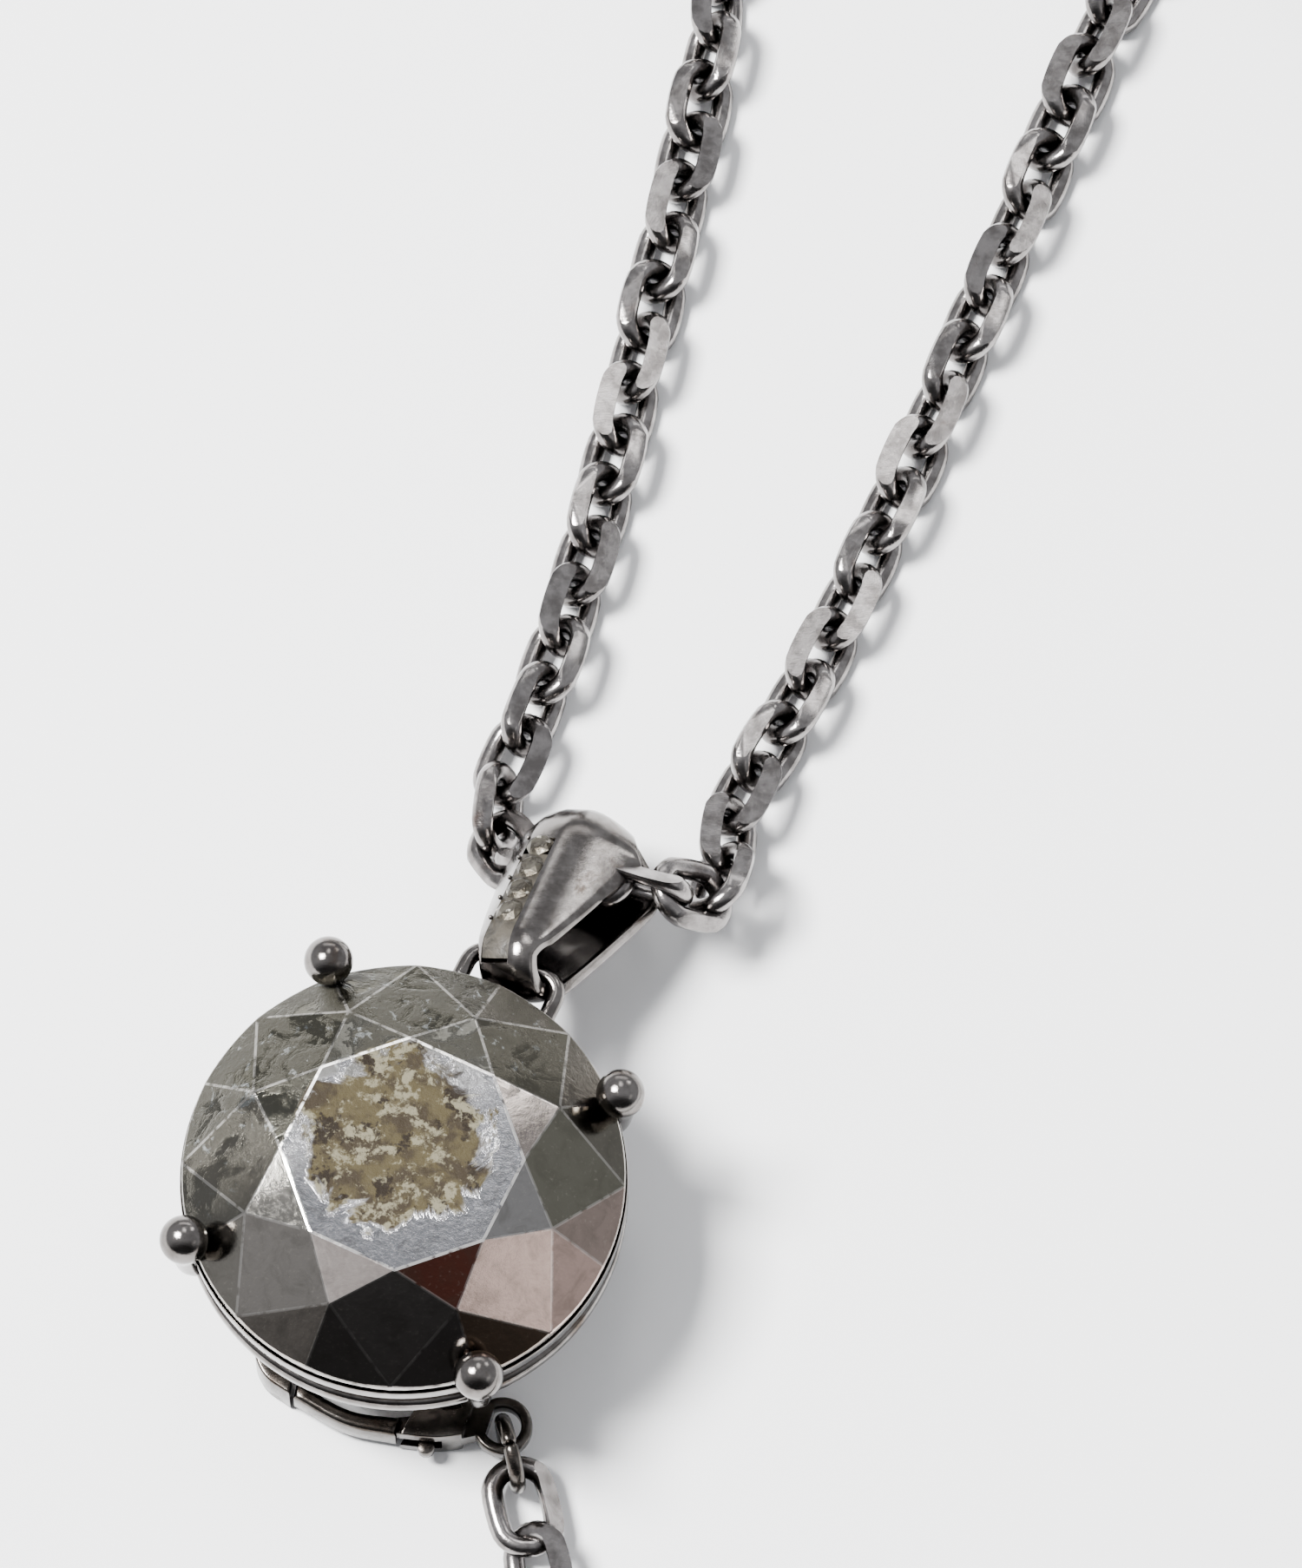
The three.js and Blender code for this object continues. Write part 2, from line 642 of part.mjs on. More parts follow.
function claspLeverGeometry() {
  const [px, py] = CLASP_PIVOT;
  const arm = new THREE.Shape();
  arm.moveTo(2.22, 0.6);
  arm.quadraticCurveTo(3.4, 0.86, 4.74, 0.5);
  arm.lineTo(4.7, 0.9);
  arm.quadraticCurveTo(3.4, 1.24, 2.22, 1.04);
  arm.closePath();
  const tail = new THREE.Shape();
  tail.absarc(px, py, 0.27, rad(115), rad(255), false);
  tail.lineTo(2.3, 0.6);
  tail.lineTo(2.3, 1.0);
  tail.closePath();
  const armHeight = 0.86;
  const solid = joined(
    plate(arm, armHeight, (CLASP_THICKNESS - armHeight) / 2, 6),
    plate(tail, LEVER_TAIL, (CLASP_THICKNESS - LEVER_TAIL) / 2, 6),
  );
  return cut(solid, claspPinHole(CLEARANCE));
}

function claspSpringGeometry() {
  const width = LEVER_TAIL - 0.08;
  const leaf = new THREE.Shape();
  leaf.moveTo(1.16, 0.07);
  leaf.lineTo(1.8, 0.03);
  leaf.lineTo(1.8, 0.08);
  leaf.lineTo(1.21, 0.12);
  leaf.lineTo(1.23, 0.62);
  leaf.lineTo(1.19, 0.62);
  leaf.closePath();
  return plate(leaf, width, (CLASP_THICKNESS - width) / 2);
}

function claspGroup() {
  const clasp = new THREE.Group();
  const pin = plate(disc(...CLASP_PIVOT, CLASP_PIN_RADIUS), CLASP_THICKNESS, 0, 8);
  clasp.add(named("clasp_body", claspBodyGeometry(), metal));
  clasp.add(named("clasp_lever", claspLeverGeometry(), metal));
  clasp.add(named("clasp_pin", pin, metal));
  clasp.add(named("clasp_spring", claspSpringGeometry(), metal));
  clasp.position.set(...CLASP_PLACE, 0.02);
  clasp.rotation.z = rad(CLASP_TURN);
  return clasp;
}

// ---- Assembly --------------------------------------------------------------------------------
function pendantGroup() {
  const pendant = new THREE.Group();
  const notches = prongNotches();
  pendant.add(named("main_stone", stoneGeometry(), stain));
  pendant.add(named("setting_cup", cut(cupGeometry(), ...notches), metal));
  pendant.add(named("gallery_ring", cut(galleryGeometry(), ...notches), metal));
  pendant.add(named("hanger_loop", hangerGeometry(), metal));
  for (let i = 0; i < PRONG_COUNT; i++) {
    const prong = named(`prong_${i + 1}`, prongGeometry(), metal);
    prong.rotation.z = prongAngle(i);
    pendant.add(prong);
  }
  pendant.rotation.z = rad(PENDANT_TURN);
  return pendant;
}

function bailGroup() {
  const bail = new THREE.Group();
  bail.add(named("bail", bailGeometry(), metal));
  for (let i = 0; i < BAIL_STONE_COUNT; i++) {
    bail.add(named(`bail_stone_${i + 1}`, bailStone(i), paste));
  }
  const turn = new THREE.Matrix4().makeRotationZ(rad(PENDANT_TURN));
  const fall = new THREE.Matrix4().makeRotationX(rad(-BAIL_SLOPE));
  const twist = new THREE.Matrix4().makeRotationY(rad(-BAIL_TWIST));
  const place = new THREE.Matrix4().makeTranslation(0, HANGER_BAR, HANGER_Z);
  const frame = turn.multiply(place).multiply(fall).multiply(twist);
  frame.decompose(bail.position, bail.quaternion, bail.scale);
  return bail;
}

function addChain(necklace, bail) {
  bail.updateMatrix();
  const throughAxis = new THREE.Vector3(1, 0, 0).transformDirection(bail.matrix);
  const middle = new THREE.Vector3(THROUGH_LINK_OFFSET, BAIL_REACH, 0).applyMatrix4(bail.matrix);
  const normal = upwardNormal(throughAxis);
  const through = placeLink(named("bail_link", linkGeometry(), metal), middle, throughAxis, normal);
  necklace.add(through.mesh);
  const start = { centre: middle, axis: throughAxis, side: through.side };
  const rightEnd = linkRun(necklace, "right_link", start, RIGHT_LINKS, 1);
  const leftEnd = linkRun(necklace, "left_link", start, LEFT_LINKS, -1);
  return { rightEnd, leftEnd };
}

// A strand's tube starts past the last shaped link, whose end would otherwise lie inside it.
function clearOf(end, next) {
  const onwards = new THREE.Vector3(...next, STRAND_Z).sub(end).normalize();
  return end.clone().addScaledVector(onwards, LINK_WIRE + LINK_PLAY + 0.3);
}

function addClaspEnd(necklace) {
  const lead = new THREE.Vector3(Math.cos(rad(CLASP_LEAD)), Math.sin(rad(CLASP_LEAD)), 0);
  const ringCentre = new THREE.Vector3(...CLASP_PLACE, RING_RADIUS + 0.02);
  ringCentre.addScaledVector(lead, RING_MIDDLE - 0.02);
  const ring = named("clasp_ring", wireLoop(2 * RING_RADIUS, 2 * RING_RADIUS, RING_WIRE, 24, 8), metal);
  necklace.add(placeLink(ring, ringCentre, lead, new THREE.Vector3(lead.y, -lead.x, 0)).mesh);
  const gap = RING_MIDDLE - RING_WIRE / 2 - LINK_WIRE / 2 - 2 * CLEARANCE;
  const linkCentre = ringCentre.clone().addScaledVector(lead, gap + (LINK_LENGTH - LINK_WIRE) / 2);
  linkCentre.z = STRAND_Z;
  const link = named("clasp_end_link", linkGeometry(), metal);
  necklace.add(placeLink(link, linkCentre, lead, new THREE.Vector3(0, 0, 1)).mesh);
  return linkCentre.addScaledVector(lead, LINK_LENGTH / 2 + 0.3);
}

// The last link stands inside the coil, and the end ring leans from it down to the table.
function addFreeEnd(necklace) {
  const { lead, centre } = endLinkPlace();
  const level = new THREE.Vector3(-lead.y, lead.x, 0);
  necklace.add(placeLink(named("end_link", linkGeometry(), metal), centre, lead, level).mesh);
  const tilt = rad(END_RING_TILT);
  const down = lead.clone().multiplyScalar(Math.cos(tilt)).setZ(-Math.sin(tilt));
  const square = lead.clone().multiplyScalar(Math.sin(tilt)).setZ(Math.cos(tilt));
  const held = centre.clone().addScaledVector(lead, endRingReach()).setZ(END_RING_HEIGHT);
  const ring = named("end_ring", wireLoop(2 * RING_RADIUS, 2 * RING_RADIUS, RING_WIRE, 24, 8), metal);
  necklace.add(placeLink(ring, held.addScaledVector(down, RING_MIDDLE), down, square).mesh);
}

// From the last link's middle to the ring's wire where it passes through that link.
function endRingReach() {
  return LINK_LENGTH / 2 - LINK_WIRE - RING_WIRE / 2 - CLEARANCE;
}

const necklace = new THREE.Group();
const bail = bailGroup();
necklace.add(pendantGroup(), bail, claspGroup());
const { rightEnd, leftEnd } = addChain(necklace, bail);
const claspLink = addClaspEnd(necklace);
necklace.add(
  named("left_strand", strandGeometry(clearOf(leftEnd, LEFT_ROUTE[0]), LEFT_ROUTE), metal),
);
necklace.add(
  named("right_strand", strandGeometry(clearOf(rightEnd, RIGHT_ROUTE[0]), RIGHT_ROUTE, claspLink), metal),
);
necklace.add(named("chain_coil", coilGeometry(), metal));
addFreeEnd(necklace);

export default necklace;
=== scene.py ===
"""A pendant necklace lying on a pale table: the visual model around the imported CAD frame.

Every shape is worked out in millimetres in the CAD model's frame and scaled to metres when its
mesh is made. The pendant, the bail and the clasp are each drawn in a frame of their own.
"""

import math
import random

import bmesh
import bpy
import numpy as np
from mathutils import Matrix, Vector


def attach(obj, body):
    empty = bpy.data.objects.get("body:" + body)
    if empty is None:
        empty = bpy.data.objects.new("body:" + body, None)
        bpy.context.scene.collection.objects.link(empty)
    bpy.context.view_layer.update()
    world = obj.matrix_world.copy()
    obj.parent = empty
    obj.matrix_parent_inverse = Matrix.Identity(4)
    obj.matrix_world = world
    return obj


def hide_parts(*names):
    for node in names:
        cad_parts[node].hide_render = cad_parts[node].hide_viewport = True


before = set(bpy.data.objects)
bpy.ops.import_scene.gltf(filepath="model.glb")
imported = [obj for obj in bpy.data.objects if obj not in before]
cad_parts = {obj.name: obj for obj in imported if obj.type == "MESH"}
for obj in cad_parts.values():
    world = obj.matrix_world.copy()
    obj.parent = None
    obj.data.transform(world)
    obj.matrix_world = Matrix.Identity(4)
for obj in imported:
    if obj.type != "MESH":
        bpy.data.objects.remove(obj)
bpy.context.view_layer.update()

MM = 0.001

# ---- Driving dimensions ----
# Most are part.mjs's. The links and the prongs' balls are a little thicker, as rounder shapes look.
STONE_RADIUS = 5.0
TABLE_RADIUS = 2.735
STAR_RADIUS = 3.73
GIRDLE_BOTTOM = 4.43
GIRDLE_TOP = 4.73
TABLE_Z = 6.28
CULET_Z = 0.48
LOWER_HALF_RADIUS = 1.15
WORN_EDGE = 0.035
FACET_STEP = 45  # degrees from one star facet to the next

RIM_RADIUS = 5.05
RIM_TOP = 4.4
RIM_BOTTOM = 3.9
GROOVE_BOTTOM = 3.46
GALLERY_BOTTOM = 2.96
CUP_RADIUS = 4.77
FOOT_RADIUS = 1.6

PRONG_COUNT = 4
PRONG_BALL_RADIUS = 0.56
PRONG_BALL_REACH = 5.18
PRONG_BALL_Z = 5.31

HANGER_WIRE = 0.4
HANGER_BAR = 5.95
HANGER_Z = 3.68
HANGER_SPAN = 2.2
HANGER_FOOT = 4.6
HANGER_CORNER = 0.45

BAIL_REACH = 3.25
BAIL_SEAT = 0.26
BAIL_WALL = 0.35
BAIL_CHAIN_RADIUS = 1.15
BAIL_PIVOT_RADIUS = 0.7
BAIL_BOTTOM = 0.7
BAIL_SHOULDER = 1.8
BAIL_RIDGE = 0.3
BAIL_FLANK = 0.72  # how fast the rounded flanks fall away from the ridge
BAIL_SLOPE = 25
BAIL_TWIST = 30
CHANNEL_HALF = 0.36
CHANNEL_SIDE = -0.2  # from the bail's middle towards its narrower side
CHANNEL_DEPTH = 0.16
CHANNEL_START = 0.25
CHANNEL_END = 2.95
CHANNEL_FOOT = 0.72  # the share of the foot's curl after which the channel starts
BAIL_STONES = 4
MELEE_RADIUS = 0.34
MELEE_SINK = 0.085
BEAD_RADIUS = 0.06

LINK_PITCH = 1.32
LINK_WIRE = 0.5
LINK_LENGTH = 2.4
LINK_WIDTH = 1.78
LINK_IN_BAIL = 0.4  # from the bail's middle to the middle of the link in it
LINK_SQUARENESS = 3.2  # how soon a link's bend goes over into its straight side
LINK_FLAT = 0.5  # from the chain's middle to the upper flat cut face
LINK_FLAT_BELOW = 0.6
LINK_SHARP = 28  # degrees, past which an edge of a link is drawn sharp
LINK_ROCK = 10  # degrees that a lying link may roll to either side
SETTLE_LINKS = 7  # links that a strand takes to lie rolled to 45 degrees each way
STRAND_Z = 0.65
COIL_TURNS = 5
COIL_PITCH = 1.45
COIL_MEAN_RADIUS = 7.75
COIL_CENTRE = (10.5, 45.8)
FINE_WITHIN = (19, -9, 33)  # right, near and far bounds of the links drawn in fine detail

RING_WIRE = 0.36
RING_RADIUS = 0.94
RING_GAP = 14  # degrees left open where a jump ring was closed
RING_CLEARANCE = 0.06
TABLE_GAP = 0.02
CLASP_THICKNESS = 1.2
CLASP_SLOT = 0.52
EYE_BOTTOM = 0.36
EYE_TOP = 0.85
RIVET_RADIUS = 0.15
CLASP_PIVOT = (1.5, 0.42)
CLASP_PLACE = (2.2, -4.7)
CLASP_TURN = 162
CLASP_LEAD = -76
PENDANT_TURN = -25.6
LAST_LINK_Z = 0.73
END_LINK_Z = 0.91
END_LINK_TURN = 15
END_RING_TILT = 17

RIGHT_LINKS = [(0.93, -0.3, 0.05), (0.72, 0.1, -0.68), (0.22, 0.85, -0.48)]
LEFT_LINKS = [(0.83, -0.3, 0.42), (0.42, -0.74, 0.52), (-0.12, -0.97, 0.12)]

LEFT_ROUTE = [
    (3.12, 13.3), (3.94, 16.06), (4.67, 18.89), (5.32, 21.75), (5.93, 24.29), (6.72, 27.98),
    (7.18, 30.68), (6.9, 32.2), (5.2, 33.8), (2.6, 35.2), (0.2, 37.6), (-1.3, 40.8),
]
RIGHT_ROUTE = [
    (7.5, 10.15), (8.83, 12.6), (10.08, 15.19), (11.61, 18.67), (12.92, 21.75), (14.01, 24.4),
    (15.2, 27.3), (16.62, 30.68), (17.7, 32.3), (19.6, 33.3), (21.6, 32.5), (22.6, 30.2),
    (22.75, 26), (22.75, 19), (22.75, 12), (22.75, 5), (22.75, -2), (22.5, -6.4), (20.7, -9.2),
    (17.4, -10.1), (13, -10.3), (8.5, -10.4), (5.2, -10.2), (3.4, -9.2),
]

CAMERA_LENS = 247.6
CAMERA_PLACE = (5.566, -74.691, 235.623)
CAMERA_TILT = 20  # degrees from looking straight down
LIGHTS_AIM = (6, 15, 0)
FLOOR_HALF = 700


# ---- Frames ----
def turn(axis, degrees):
    return Matrix.Rotation(math.radians(degrees), 4, axis)


def shift(x, y, z):
    return Matrix.Translation((x, y, z))


PENDANT = turn("Z", PENDANT_TURN)
BAIL = PENDANT @ shift(0, HANGER_BAR, HANGER_Z) @ turn("X", -BAIL_SLOPE) @ turn("Y", -BAIL_TWIST)
CLASP = shift(*CLASP_PLACE, TABLE_GAP) @ turn("Z", CLASP_TURN)


# ---- Mesh helpers ----
def piece(name, shape, material, body, place=Matrix.Identity(4), sharp=32):
    """A mesh object from (points, faces) in a local frame, in millimetres."""
    points, faces = shape
    mesh = bpy.data.meshes.new(name)
    mesh.from_pydata([(place @ Vector(p)) * MM for p in points], [], faces)
    mesh.update()
    mesh.materials.append(material)
    obj = bpy.data.objects.new(name, mesh)
    bpy.context.scene.collection.objects.link(obj)
    mesh.shade_smooth()
    mesh.set_sharp_from_angle(angle=math.radians(sharp))
    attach(obj, body)
    return obj


def together(*shapes):
    """Several closed shapes as one."""
    points, faces = [], []
    for some_points, some_faces in shapes:
        start = len(points)
        points += [tuple(p) for p in some_points]
        faces += [tuple(start + i for i in face) for face in some_faces]
    return points, faces


def moved(shape, place):
    return [tuple(place @ Vector(p)) for p in shape[0]], shape[1]


def rings_to_shape(rings, closed, capped=True):
    """Joins rings of points, each as long as the next, into a skin."""
    sides = len(rings[0])
    points = [tuple(p) for ring in rings for p in ring]
    faces = []
    spans = len(rings) if closed else len(rings) - 1
    for i in range(spans):
        a = i * sides
        b = ((i + 1) % len(rings)) * sides
        for k in range(sides):
            n = (k + 1) % sides
            faces.append((a + k, a + n, b + n, b + k))
    if not closed and capped:
        faces.append(tuple(reversed(range(sides))))
        faces.append(tuple(range(len(points) - sides, len(points))))
    return points, faces


def polar(radius, degrees, z):
    a = math.radians(degrees)
    return (radius * math.cos(a), radius * math.sin(a), z)


def turned(profile, sides=128):
    """A closed profile of (radius, height) points turned about Z. Points on the axis are joined."""
    rings = []
    for radius, z in profile:
        rings.append([polar(radius, 360 * i / sides, z) for i in range(sides)])
    on_axis = [i for i, (radius, _) in enumerate(profile) if radius < 1e-6]
    points, faces = rings_to_shape(rings, closed=not on_axis, capped=False)
    return welded(points, faces)


def bmesh_of(points, faces):
    bm = bmesh.new()
    made = [bm.verts.new(p) for p in points]
    for face in faces:
        bm.faces.new([made[i] for i in face])
    return bm


def welded(points, faces):
    """Merges points that coincide, and turns every face outwards."""
    bm = bmesh_of(points, faces)
    bmesh.ops.remove_doubles(bm, verts=bm.verts, dist=1e-5)
    bmesh.ops.dissolve_degenerate(bm, edges=bm.edges, dist=1e-6)
    bmesh.ops.recalc_face_normals(bm, faces=bm.faces)
    return taken(bm)


def slice_off(bm, point, normal):
    everything = bm.verts[:] + bm.edges[:] + bm.faces[:]
    cut = bmesh.ops.bisect_plane(
        bm, geom=everything, dist=1e-5, plane_co=point, plane_no=normal, clear_outer=True
    )
    rim = [e for e in cut["geom_cut"] if isinstance(e, bmesh.types.BMEdge) and e.is_boundary]
    bmesh.ops.holes_fill(bm, edges=rim, sides=0)


def taken(bm):
    bm.verts.index_update()
    points = [tuple(v.co) for v in bm.verts]
    faces = [tuple(v.index for v in f.verts) for f in bm.faces]
    bm.free()
    return points, faces


def rounded_profile(corners, radius, steps=4):
    """A closed (x, y) profile with each corner rounded by up to that radius."""
    out = []
    count = len(corners)
    for i, corner in enumerate(corners):
        here = Vector(corner)
        back = Vector(corners[i - 1]) - here
        on = Vector(corners[(i + 1) % count]) - here
        reach = min(radius, 0.45 * back.length, 0.45 * on.length)
        a = here + back.normalized() * reach
        b = here + on.normalized() * reach
        for k in range(steps + 1):
            t = k / steps
            out.append(tuple((1 - t) ** 2 * a + 2 * t * (1 - t) * here + t * t * b))
    return out


def smooth_line(points, per_span):
    """Points on a centripetal Catmull-Rom curve through the given points."""
    p = [np.array(q, float) for q in points]
    p = [2 * p[0] - p[1]] + p + [2 * p[-1] - p[-2]]
    out = []
    for i in range(1, len(p) - 2):
        knots = [0.0]
        for a, b in zip(p[i - 1 : i + 2], p[i : i + 3]):
            knots.append(knots[-1] + max(np.linalg.norm(b - a), 1e-9) ** 0.5)
        for t in np.linspace(knots[1], knots[2], per_span, endpoint=False):
            out.append(catmull_rom(p[i - 1 : i + 3], knots, t))
    out.append(p[-2])
    return out


def catmull_rom(p, k, t):
    def mix(a, b, ka, kb):
        return a * ((kb - t) / (kb - ka)) + b * ((t - ka) / (kb - ka))

    a = [mix(p[i], p[i + 1], k[i], k[i + 1]) for i in range(3)]
    b = [mix(a[i], a[i + 1], k[i], k[i + 2]) for i in range(2)]
    return mix(b[0], b[1], k[1], k[2])


def wire(points, radii, sides=16, closed=False):
    """Round wire along points, with its own radius at each. Open ends are domed."""
    line = [Vector(p) for p in points]
    count = len(line)
    if not hasattr(radii, "__len__"):
        radii = [radii] * count
    tangents = []
    for i in range(count):
        ahead = line[(i + 1) % count] if closed or i < count - 1 else line[i]
        behind = line[i - 1] if closed or i else line[i]
        tangents.append((ahead - behind).normalized())
    normal = tangents[0].orthogonal().normalized()
    rings = []
    for i in range(count):
        normal = (normal - tangents[i] * normal.dot(tangents[i])).normalized()
        across = tangents[i].cross(normal)
        rings.append(ring_at(line[i], normal, across, radii[i], sides))
        if not closed and i in (0, count - 1):
            outwards = -tangents[i] if i == 0 else tangents[i]
            domes = dome(line[i], outwards, normal, across, radii[i], sides)
            rings = domes[::-1] + rings if i == 0 else rings + domes
    return rings_to_shape(rings, closed)


def ring_at(centre, normal, across, radius, sides):
    ring = []
    for k in range(sides):
        a = 2 * math.pi * k / sides
        ring.append(centre + normal * (radius * math.cos(a)) + across * (radius * math.sin(a)))
    return ring


def dome(centre, outwards, normal, across, radius, sides):
    rings = []
    for degrees in (30, 55, 78):
        a = math.radians(degrees)
        middle = centre + outwards * (radius * math.sin(a) * 0.6)
        rings.append(ring_at(middle, normal, across, radius * math.cos(a), sides))
    return rings


def ball(centre, radius, across, up):
    return moved(turned(arc(0, 0, radius, -90, 90, up), across), shift(*centre))


def plate(outline, z0, z1, bevel, segments=3):
    """A flat outline pushed up from z0 to z1, with rounded edges top and bottom."""
    bm = bmesh.new()
    face = bm.faces.new([bm.verts.new((x, y, z0)) for x, y in outline])
    pushed = bmesh.ops.extrude_face_region(bm, geom=[face])
    top = [v for v in pushed["geom"] if isinstance(v, bmesh.types.BMVert)]
    bmesh.ops.translate(bm, vec=(0, 0, z1 - z0), verts=top)
    bmesh.ops.recalc_face_normals(bm, faces=bm.faces)
    rims = [e for e in bm.edges if abs(e.verts[0].co.z - e.verts[1].co.z) < 1e-6]
    bmesh.ops.bevel(
        bm, geom=rims, offset=bevel, segments=segments, affect="EDGES", profile=0.5, clamp_overlap=True
    )
    bmesh.ops.triangulate(bm, faces=[f for f in bm.faces if len(f.verts) > 8])
    return taken(bm)


def arc(cx, cy, radius, start, end, steps):
    points = []
    for i in range(steps + 1):
        a = math.radians(start + (end - start) * i / steps)
        points.append((cx + radius * math.cos(a), cy + radius * math.sin(a)))
    return points


# ---- Material helpers ----
def colour(text):
    """The linear colour of an sRGB hex string."""
    values = [int(text[i : i + 2], 16) / 255 for i in (1, 3, 5)]
    return (*[v / 12.92 if v < 0.04045 else ((v + 0.055) / 1.055) ** 2.4 for v in values], 1.0)


def node(tree, kind, inputs=None, **settings):
    made = tree.nodes.new("ShaderNode" + kind)
    for key, value in settings.items():
        setattr(made, key, value)
    for key, value in (inputs or {}).items():
        if isinstance(value, bpy.types.NodeSocket):
            tree.links.new(value, made.inputs[key])
        else:
            made.inputs[key].default_value = value
    return made


def new_material(name, **plain):
    """A material, its tree and shader, and the place in millimetres that its patterns hang on."""
    material = bpy.data.materials.new(name)
    material.use_nodes = True
    tree = material.node_tree
    shader = tree.nodes["Principled BSDF"]
    for key, value in plain.items():
        shader.inputs[key.replace("_", " ")].default_value = value
    return material, tree, shader, mm_coordinates(tree)


def mm_coordinates(tree):
    """Object coordinates in millimetres, which travel with the piece."""
    where = node(tree, "TexCoord")
    scaled = node(tree, "VectorMath", {0: where.outputs["Object"], 3: 1000.0}, operation="SCALE")
    return scaled.outputs[0]


def noise(tree, where, scale, detail=3.0, rough=0.55, distortion=0.0):
    inputs = {"Vector": where, "Scale": scale, "Detail": detail, "Roughness": rough}
    inputs["Distortion"] = distortion
    return node(tree, "TexNoise", inputs).outputs["Fac"]


def stretched(tree, where, factors, angle=0.0):
    inputs = {"Vector": where, "Scale": factors, "Rotation": (0, 0, math.radians(angle))}
    return node(tree, "Mapping", inputs).outputs["Vector"]


def between(tree, value, low, high, start=0.0, end=1.0):
    """Start below low, end above high, and smooth in between."""
    inputs = {"Value": value, "From Min": low, "From Max": high, "To Min": start, "To Max": end}
    return node(tree, "MapRange", inputs, interpolation_type="SMOOTHSTEP").outputs["Result"]


def mixed(tree, factor, a, b):
    inputs = {0: factor, 6: a, 7: b}
    return node(tree, "Mix", inputs, data_type="RGBA").outputs[2]


def sums(tree, operation, a, b):
    return node(tree, "Math", {0: a, 1: b}, operation=operation).outputs[0]


def join(tree, socket, shader, name):
    tree.links.new(socket, shader.inputs[name])


def bumped(tree, shader, height, strength, depth_mm):
    inputs = {"Height": height, "Strength": strength, "Distance": depth_mm * MM}
    join(tree, node(tree, "Bump", inputs).outputs[0], shader, "Normal")


# ---- Materials ----
def polished_metal(name, bright, dark, stain, stained, gap, rough):
    """Polished white metal: brown tarnish and painted shade in the gaps, faint stains, fine scratches.
    """
    material, tree, shader, where = new_material(name, Metallic=1.0)
    patches = between(tree, noise(tree, where, 0.9, 4.0, 0.6, 0.6), *stained)
    cloudy = noise(tree, where, 2.3, 3.0)
    clean = mixed(tree, between(tree, cloudy, 0.35, 0.7), colour(bright), colour(dark))
    worn = mixed(tree, patches, clean, colour(stain))
    # Painted shade: the base colour goes near-black brown where nearby surfaces shut a point in, partly
    # tarnish in the hollows.
    shut_in = node(tree, "AmbientOcclusion", {"Distance": gap * MM}, samples=6).outputs["AO"]
    open_to_light = between(tree, shut_in, 0.25, 0.8)
    join(tree, mixed(tree, open_to_light, colour("#140d0b"), worn), shader, "Base Color")
    fine = noise(tree, stretched(tree, where, (3.0, 22.0, 9.0), 31), 2.0, 4.0, 0.7)
    pitted = noise(tree, where, 26.0, 2.0)
    glossy = between(tree, fine, 0.35, 0.75, rough, rough + 0.13)
    dulled = sums(tree, "MULTIPLY_ADD", patches, 0.16)
    tree.links.new(glossy, dulled.node.inputs[2])
    join(tree, dulled, shader, "Roughness")
    scratches = sums(tree, "ADD", fine, sums(tree, "MULTIPLY", pitted, 0.5))
    bumped(tree, shader, scratches, 0.12, 0.02)
    return material


def main_stone_material():
    """Mirror-backed cut stone: each facet carries a painted reflection tone, under stains, crusts and
    worn edges.
    """
    material, tree, shader, where = new_material("mirror_stone", Specular_IOR_Level=0.12)
    # The facet attribute holds painted reflections: each facet's light or shade, tinted by the stone's
    # tarnish.
    facet = node(tree, "Attribute", attribute_name="facet")
    mottle = noise(tree, where, 1.7, 6.0, 0.62, 0.8)
    fine = noise(tree, where, 9.0, 4.0, 0.65)
    cloud = between(tree, mottle, 0.4, 0.72, 0.0, 0.3)
    clouded = mixed(tree, cloud, facet.outputs["Color"], colour("#45433a"))
    streaked = mixed(tree, between(tree, fine, 0.58, 0.76, 0.0, 0.16), clouded, colour("#c9c4b6"))
    stains, crust = crown_stains(tree, where, streaked)
    patched, rough_patch = table_patch(tree, where, stains)
    edge = node(tree, "Attribute", attribute_name="edge").outputs["Fac"]
    chipped = between(tree, noise(tree, where, 3.1, 4.0), 0.34, 0.5)
    worn = sums(tree, "MULTIPLY", edge, chipped)
    join(tree, mixed(tree, worn, patched, colour("#f3efe9")), shader, "Base Color")
    matt = sums(tree, "MAXIMUM", rough_patch, crust)
    join(tree, between(tree, matt, 0.0, 1.0, 1.0, 0.05), shader, "Metallic")
    gloss = between(tree, fine, 0.4, 0.7, 0.07, 0.15)
    join(tree, sums(tree, "ADD", gloss, sums(tree, "MULTIPLY", matt, 0.4)), shader, "Roughness")
    lumps = sums(tree, "MULTIPLY", noise(tree, where, 7.0, 6.0, 0.7), sums(tree, "MAXIMUM", matt, 0.06))
    bumped(tree, shader, lumps, 0.5, 0.09)
    return material


def crown_stains(tree, where, under):
    """Greenish-brown stains and pale crust on the far and left side of the crown."""
    parts = node(tree, "SeparateXYZ", {0: where})
    side = sums(tree, "SUBTRACT", parts.outputs["Y"], sums(tree, "MULTIPLY", parts.outputs["X"], 0.35))
    far = between(tree, side, -0.6, 2.4)
    blotch = between(tree, noise(tree, where, 1.1, 6.0, 0.62, 0.5), 0.38, 0.56)
    crust = sums(tree, "MULTIPLY", far, blotch)
    brown = mixed(tree, noise(tree, where, 3.3, 4.0), colour("#1f1d17"), colour("#3b3932"))
    stained = mixed(tree, sums(tree, "MULTIPLY", crust, 0.8), under, brown)
    spots = between(tree, noise(tree, where, 2.4, 5.0, 0.7, 0.5), 0.6, 0.66)
    pale = sums(tree, "MULTIPLY", far, spots)
    return mixed(tree, pale, stained, colour("#6f716f")), sums(tree, "MULTIPLY", crust, 0.6)


